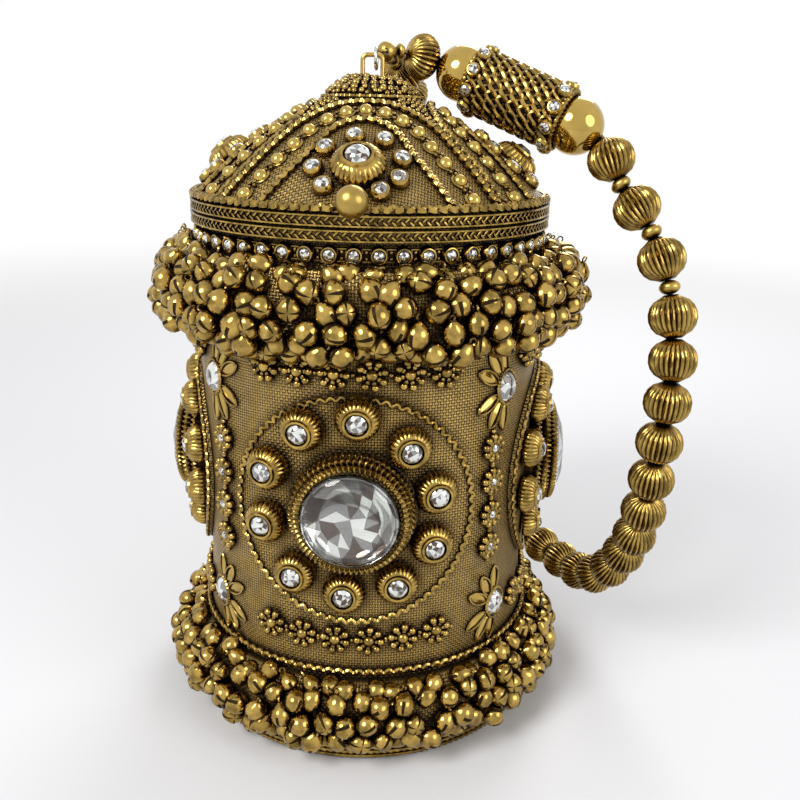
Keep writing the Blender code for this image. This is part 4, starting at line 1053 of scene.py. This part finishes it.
# Ring and handle
RING_CENTRE = Vector((0.9, 1.2, 190.2))
RING_R, RING_WIRE = 2.8, 0.45
SHANK_X, SHANK_Z = 3.4, 192.3
UPPER_ROUTE = ((3.4, 7.3, 192.3), (7.6, 10.0, 192.7), (13.6, 13.4, 191.2), (25.5, 12.3, 187.1))
LOWER_ROUTE = (
    (57.3, -0.5, 173.4), (66.2, -5.0, 163.4), (75.1, -10.9, 151.8), (81.8, -17.8, 138.6),
    (84.9, -22.7, 123.7), (85.5, -25.6, 111.8), (84.9, -26.6, 99.6), (84.0, -26.0, 87.3),
    (83.5, -24.2, 74.6), (83.3, -20.0, 62.2), (82.6, -13.2, 50.5), (80.9, -5.0, 39.6),
    (78.2, 3.6, 30.4), (74.0, 15.0, 24.0), (69.0, 28.0, 21.8), (61.0, 41.5, 22.6),
    (50.0, 54.5, 26.0), (36.0, 66.0, 32.0), (18.0, 74.0, 42.0), (4.5, 78.0, 58.0),
    (-1.5, 79.0, 80.0), (-2.0, 79.0, 105.0), (0.0, 77.5, 126.0), (2.0, 73.5, 144.0),
    (4.2, 65.0, 158.5), (6.3, 53.0, 169.5), (8.2, 38.0, 180.0), (8.9, 30.0, 184.4),
    (6.4, 21.0, 188.4), (3.4, 14.0, 192.3),
)
BALL_LEAD = 9.6
BALL_AIR = 1.5
BIG_BALL_R = 8.0
END_BALL_R = 2.9
BORE_R = 0.75
MELON_R, MELON_L = 6.65, 11.9
FIRST_MELON_L = 9.6
SPACER_R, SPACER_L = 2.9, 4.0
SMALL_SPACER_R, SMALL_SPACER_L = 2.2, 2.4
SPACED_MELONS = 3


class Strand:
    """A route read by the distance run along it."""

    def __init__(self, points):
        self.points = spline(points, 12)
        self.run = run_along(self.points)
        self.length = self.run[-1]

    def at(self, distance):
        return Vector([float(np.interp(distance, self.run, [p[i] for p in self.points])) for i in range(3)])

    def place(self, start, length):
        """Local Z along the strand, at the middle of a bead."""
        first, second = self.at(start), self.at(start + length)
        turn = (second - first).to_track_quat("Z", "Y").to_matrix().to_4x4()
        turn.translation = (first + second) / 2
        return turn


def melon(radius, length, rings=9):
    """A ribbed bead with a plain lip round each hole."""
    half = length / 2
    profile = [(BORE_R, half, 0.0), (radius * 0.30, half, 0.0)]
    for turn in arc(pi, rings)[1:-1]:
        profile.append((radius * max(0.40, sin(turn) ** 0.75), half * 0.95 * cos(turn), 1.0))
    profile += [(radius * 0.30, -half, 0.0), (BORE_R, -half, 0.0)]
    return lathe(profile, RIB_SEGMENTS, RIBS, 0.11, closed=True)


def bored(radius, bore, segments, rings):
    """A ball with a hole through it."""
    low = asin(bore / radius)
    turns = [low + t for t in arc(pi - 2 * low, rings)]
    return lathe([(radius * sin(t), radius * cos(t)) for t in turns], segments, closed=True)


def build_handle():
    """Beads on a stiff wire from the ring, through the barrel, and back to the ring."""
    first, second = Vector(UPPER_ROUTE[-1]), Vector(LOWER_ROUTE[0])
    along = (second - first).normalized()
    upper = Strand(UPPER_ROUTE[:-1] + (tuple(first - along * BALL_LEAD), tuple(first)))
    lower = Strand((tuple(second), tuple(second + along * BALL_LEAD)) + LOWER_ROUTE[1:])
    begin = BIG_BALL_R + BALL_AIR
    clear_end = END_BALL_R + GAP
    beads = [(upper, "small", clear_end, SMALL_SPACER_L),
             (upper, "first", upper.length - begin - FIRST_MELON_L, FIRST_MELON_L)]
    end = lower.length - clear_end - SMALL_SPACER_L
    free = end - begin - SPACED_MELONS * SPACER_L
    melons = int(free / (MELON_L + 0.1))
    slack = (free - melons * MELON_L) / (melons + SPACED_MELONS)
    place = begin
    for index in range(melons):
        beads.append((lower, "melon", place, MELON_L))
        place += MELON_L + slack
        if index < SPACED_MELONS:
            beads.append((lower, "spacer", place, SPACER_L))
            place += SPACER_L + slack
    beads.append((lower, "small", end, SMALL_SPACER_L))
    spacer = ball(1.0, 28, 18)
    shapes = {"melon": melon(MELON_R, MELON_L), "first": melon(MELON_R * 0.98, FIRST_MELON_L),
              "spacer": scaled(spacer, SPACER_R, SPACER_R, SPACER_L / 2),
              "small": scaled(spacer, SMALL_SPACER_R, SMALL_SPACER_R, SMALL_SPACER_L / 2)}
    pile = Pile()
    for strand, kind, start, length in beads:
        turn = spun(strand.place(start, length), rng.uniform(0, 1))
        pile.add(shapes[kind], turn, 1 if kind in ("spacer", "small") else 0)
    route = [upper.at(d) for d in np.linspace(clear_end, upper.length - 0.1, 20)]
    route += [first.lerp(second, k / 6) for k in range(1, 6)]
    route += [lower.at(d) for d in np.linspace(0.1, lower.length - clear_end, 160)]
    normals = [(0.0, 0.3, 1.0)] * 20 + [(0.2, 0.9, 0.3)] * (len(route) - 20)
    pile.add(rope([tuple(point) for point in route], normals, 0.6, step=2.0), None, 1)
    pile.build("melon_bead_strand", [ANTIQUE, SATIN], "handle", ["bead_string"], smooth=50.0)
    turn = along.to_track_quat("Z", "Y").to_matrix().to_4x4()
    for name, centre in (("upper", first), ("lower", second)):
        big = Pile()
        big.add(bored(BIG_BALL_R, 0.95, 48, 28), Matrix.Translation(centre) @ turn)
        big.build(f"polished_ball_{name}", [BRIGHT], "handle", [f"big_ball_{name}"])
    for name, y in (("front", 7.3), ("back", 14.0)):
        small = Pile()
        place = spun(Matrix.Translation((SHANK_X, y, SHANK_Z)), QUARTER, "X")
        small.add(bored(END_BALL_R, 0.8, 32, 18), place)
        small.build(f"end_bead_{name}", [SATIN], "handle", [f"end_ball_{name}"])
    build_barrel(Matrix.Translation((first + second) / 2) @ turn, (second - first).length / 2)


BARREL_HALF = 14.5
BARREL_CORE_R = 7.9
MAIL_ROWS = 8
MAIL_WAVES = 10


def build_barrel(place, half_span):
    """A sleeve of wavy chain mail with a ring of set stones round each end."""
    half = BARREL_HALF
    cup = BIG_BALL_R + 0.45
    mouth = sqrt(cup ** 2 - (half_span - half) ** 2)
    low, high = asin(0.95 / cup), asin(mouth / cup)
    turns = [low + t for t in arc(high - low, 8)]
    inner = [(cup * sin(t), half_span - cup * cos(t)) for t in turns]
    outer = [(max(BARREL_CORE_R, mouth + 0.25), half), (BARREL_CORE_R, half - 1.0)]
    outer += [(r, -z) for r, z in reversed(outer)]
    pile = Pile()
    # The core under the mail is in painted shade (second material).
    pile.add(lathe(outer + [(r, -z) for r, z in reversed(inner)] + inner, 60, closed=True), place, 1)
    pitch = (2 * half - 1.4) / MAIL_ROWS
    steps = MAIL_WAVES * 12
    angles = np.arange(steps) * FULL / steps
    normals = np.stack((np.cos(angles), np.sin(angles), 0 * angles), axis=1)
    up = np.array((0.0, 0.0, 1.0))
    for row in range(MAIL_ROWS):
        centre = -half + 0.7 + pitch * (row + 0.5)
        for strand in (0.0, pi):
            wave = MAIL_WAVES * angles + strand + row * pi
            height = centre + 1.65 * np.sin(wave)
            path = normals * (8.4 + 0.5 * np.cos(wave))[:, None] + up * height[:, None]
            pile.add(rope(path, normals, 0.7, sides=7, closed=True, step=0.75), place)
    for end in (-1, 1):
        path = normals * 8.1 + up * end * (half + 0.1)
        pile.add(rope(path, normals, 0.8, 1.3, closed=True), place)
        for k in range(10):
            a = FULL * k / 10 + 0.3
            out = Vector(polar(1.0, a, 0.0))
            level = Vector((-sin(a), cos(a), 0.0))
            spot = frame_matrix(level, out, out * 8.4 + Vector((0, 0, end * (half - 1.7))))
            add_set_stone(pile, place @ spot, 2.2, 2, 0.74)
    pile.build("mail_barrel", STUDDED, "handle", ["barrel"])


def build_jump_ring():
    """The ring on the bail, and the shank that the handle's ends turn on."""
    pile = Pile()

    def on_ring(turn):
        return RING_CENTRE + Vector((0.0, RING_R * cos(turn), RING_R * sin(turn)))

    path = [tuple(on_ring(t)) for t in np.arange(48) * FULL / 48]
    pile.add(rope(path, [(1, 0, 0)] * 48, RING_WIRE, sides=10, closed=True, step=0.4))
    leave = on_ring(radians(40.0))
    start = Vector((SHANK_X, 3.8, SHANK_Z))
    bend = leave.lerp(start, 0.6) + Vector((0.3, -0.15, 0.1))
    path = spline((leave, bend, start, (SHANK_X, 10.0, SHANK_Z), (SHANK_X, 17.3, SHANK_Z)), 8)
    pile.add(rope([tuple(p) for p in path], [(0, 0, 1)] * len(path), RING_WIRE, sides=10, step=0.5), None, 1)
    pile.add(ball(1.0, 16, 10), sized(Matrix.Translation((SHANK_X, 17.3, SHANK_Z)), 0.62), 1)
    pile.build("split_ring", [RING_STEEL, SATIN], "ring", ["jump_ring"])


# Room: the floor's size and height, where it fades to white, and each lamp's place, width and power
FLOOR_SIZE = 12.0
FLOOR_Z = -0.0002
FADE_START, FADE_END = 0.22, 1.1
LAMPS = {"key": ((-0.42, -0.50, 0.62), 0.40, 5.0), "fill": ((0.60, -0.42, 0.40), 0.50, 1.8),
         "back": ((0.15, 0.60, 0.55), 0.45, 2.4)}
LAMP_AIM = Vector((0.0, 0.0, 0.09))
FILL_LIGHT = 0.45


def shown_rays(tree):
    """1 for the rays of the camera, of gloss and of glass, which all show the pale background."""
    path = add_node(tree, "ShaderNodeLightPath")
    seen = math_node(tree, "MAXIMUM", path.outputs["Is Camera Ray"], path.outputs["Is Glossy Ray"])
    return math_node(tree, "MAXIMUM", seen, path.outputs["Is Transmission Ray"])


def build_floor():
    """A plain pale floor that fades into the white surround."""
    mesh = bpy.data.meshes.new("floor")
    corner = FLOOR_SIZE / 2
    mesh.from_pydata([(-corner, -corner, 0), (corner, -corner, 0), (corner, corner, 0), (-corner, corner, 0)],
                     [], [(0, 1, 2, 3)])
    floor = in_scene("floor", mesh)
    floor.location.z = FLOOR_Z
    made, tree, shader = shader_of("floor", FLOOR, 0.6, 0.0)
    place = add_node(tree, "ShaderNodeTexCoord")
    far = add_node(tree, "ShaderNodeVectorMath")
    far.operation = "LENGTH"
    link(tree, place.outputs["Object"], far.inputs[0])
    fade = add_node(tree, "ShaderNodeMapRange", {"From Min": FADE_START, "From Max": FADE_END})
    fade.interpolation_type = "SMOOTHSTEP"
    link(tree, far.outputs["Value"], fade.inputs["Value"])
    both = add_node(tree, "ShaderNodeMixShader")
    link(tree, math_node(tree, "MULTIPLY", fade.outputs["Result"], shown_rays(tree)), both.inputs[0])
    link(tree, shader.outputs[0], both.inputs[1])
    link(tree, add_node(tree, "ShaderNodeEmission").outputs[0], both.inputs[2])
    link(tree, both.outputs[0], tree.nodes["Material Output"].inputs["Surface"])
    mesh.materials.append(made)


def build_lights():
    """Soft lamps, and a white surround that polished metal shows too."""
    for name, (place, width, power) in LAMPS.items():
        lamp = bpy.data.lights.new(name, "AREA")
        lamp.energy = power
        lamp.shape = "DISK"
        lamp.size = width
        thing = in_scene(name, lamp)
        thing.location = place
        thing.rotation_euler = (LAMP_AIM - Vector(place)).to_track_quat("-Z", "Y").to_euler()
    world = bpy.data.worlds.new("studio")
    bpy.context.scene.world = world
    world.use_nodes = True
    tree = world.node_tree
    back = tree.nodes["Background"]
    back.inputs["Color"].default_value = (*WHITE, 1.0)
    seen = shown_rays(tree)
    dim = math_node(tree, "MULTIPLY", math_node(tree, "SUBTRACT", 1.0, seen), FILL_LIGHT)
    link(tree, math_node(tree, "ADD", seen, dim), back.inputs["Strength"])
    bpy.context.scene.view_settings.view_transform = "Standard"


CAMERA_AT = (20.5, -255.3, 174.5)
CAMERA_YAW = -2.414
CAMERA_PITCH = 18.204
CAMERA_ROLL = 1.2986
CAMERA_F_PX = 857.6
IMAGE_PX = 800
SENSOR_MM = 36.0


def build_camera():
    """The photograph's viewpoint: near, a little above the lid and slightly rolled."""
    yaw, pitch, roll = (radians(v) for v in (CAMERA_YAW, CAMERA_PITCH, CAMERA_ROLL))
    ahead = Vector((sin(yaw) * cos(pitch), cos(yaw) * cos(pitch), -sin(pitch)))
    right = Vector((cos(yaw), -sin(yaw), 0.0))
    up = right.cross(ahead)
    across = right * cos(roll) + up * sin(roll)
    above = up * cos(roll) - right * sin(roll)
    lens = bpy.data.cameras.new("camera")
    lens.sensor_width = SENSOR_MM
    lens.sensor_fit = "HORIZONTAL"
    lens.lens = CAMERA_F_PX / IMAGE_PX * SENSOR_MM
    lens.clip_start = 0.01
    thing = in_scene("camera", lens)
    matrix = Matrix((across, above, -ahead)).transposed().to_4x4()
    matrix.translation = Vector(CAMERA_AT) * MM
    thing.matrix_world = matrix
    bpy.context.scene.camera = thing


PAINTED = ((DRUM_TISSUE, ("base_board",)), (CARD_BOARD, ("drum_wall", "lid_shell")),
           (SATIN_LINING, ("drum_lining", "lid_lining")),
           (SATIN, ("drum_rim_frame", "lid_rim_frame", "hinge_leaf_drum", "hinge_leaf_lid", "hinge_pin",
                    "clasp_keeper", "clasp_bushing", "clasp_tongue")))


def build():
    build_drum_skin()
    build_drum_trims()
    build_cords()
    build_plait("drum_plait", 146.0, 149.1, "drum", "drum_rim_braid")
    build_plait("lid_plait", 149.5, 152.6, "lid", "lid_rim_braid")
    build_cup_chain()
    build_fringe("upper_bells", UPPER_BELLS, UPPER_TAPES, "upper_bell_fringe")
    build_fringe("lower_bells", LOWER_BELLS, LOWER_TAPES, "lower_bell_fringe")
    for face in range(4):
        build_medallion(face)
    build_lid_skin()
    build_lid_trims()
    build_crown()
    build_clasp()
    build_jump_ring()
    build_handle()
    for made, names in PAINTED:
        for name in names:
            paint(name, made)
    build_floor()
    build_lights()
    build_camera()


build()
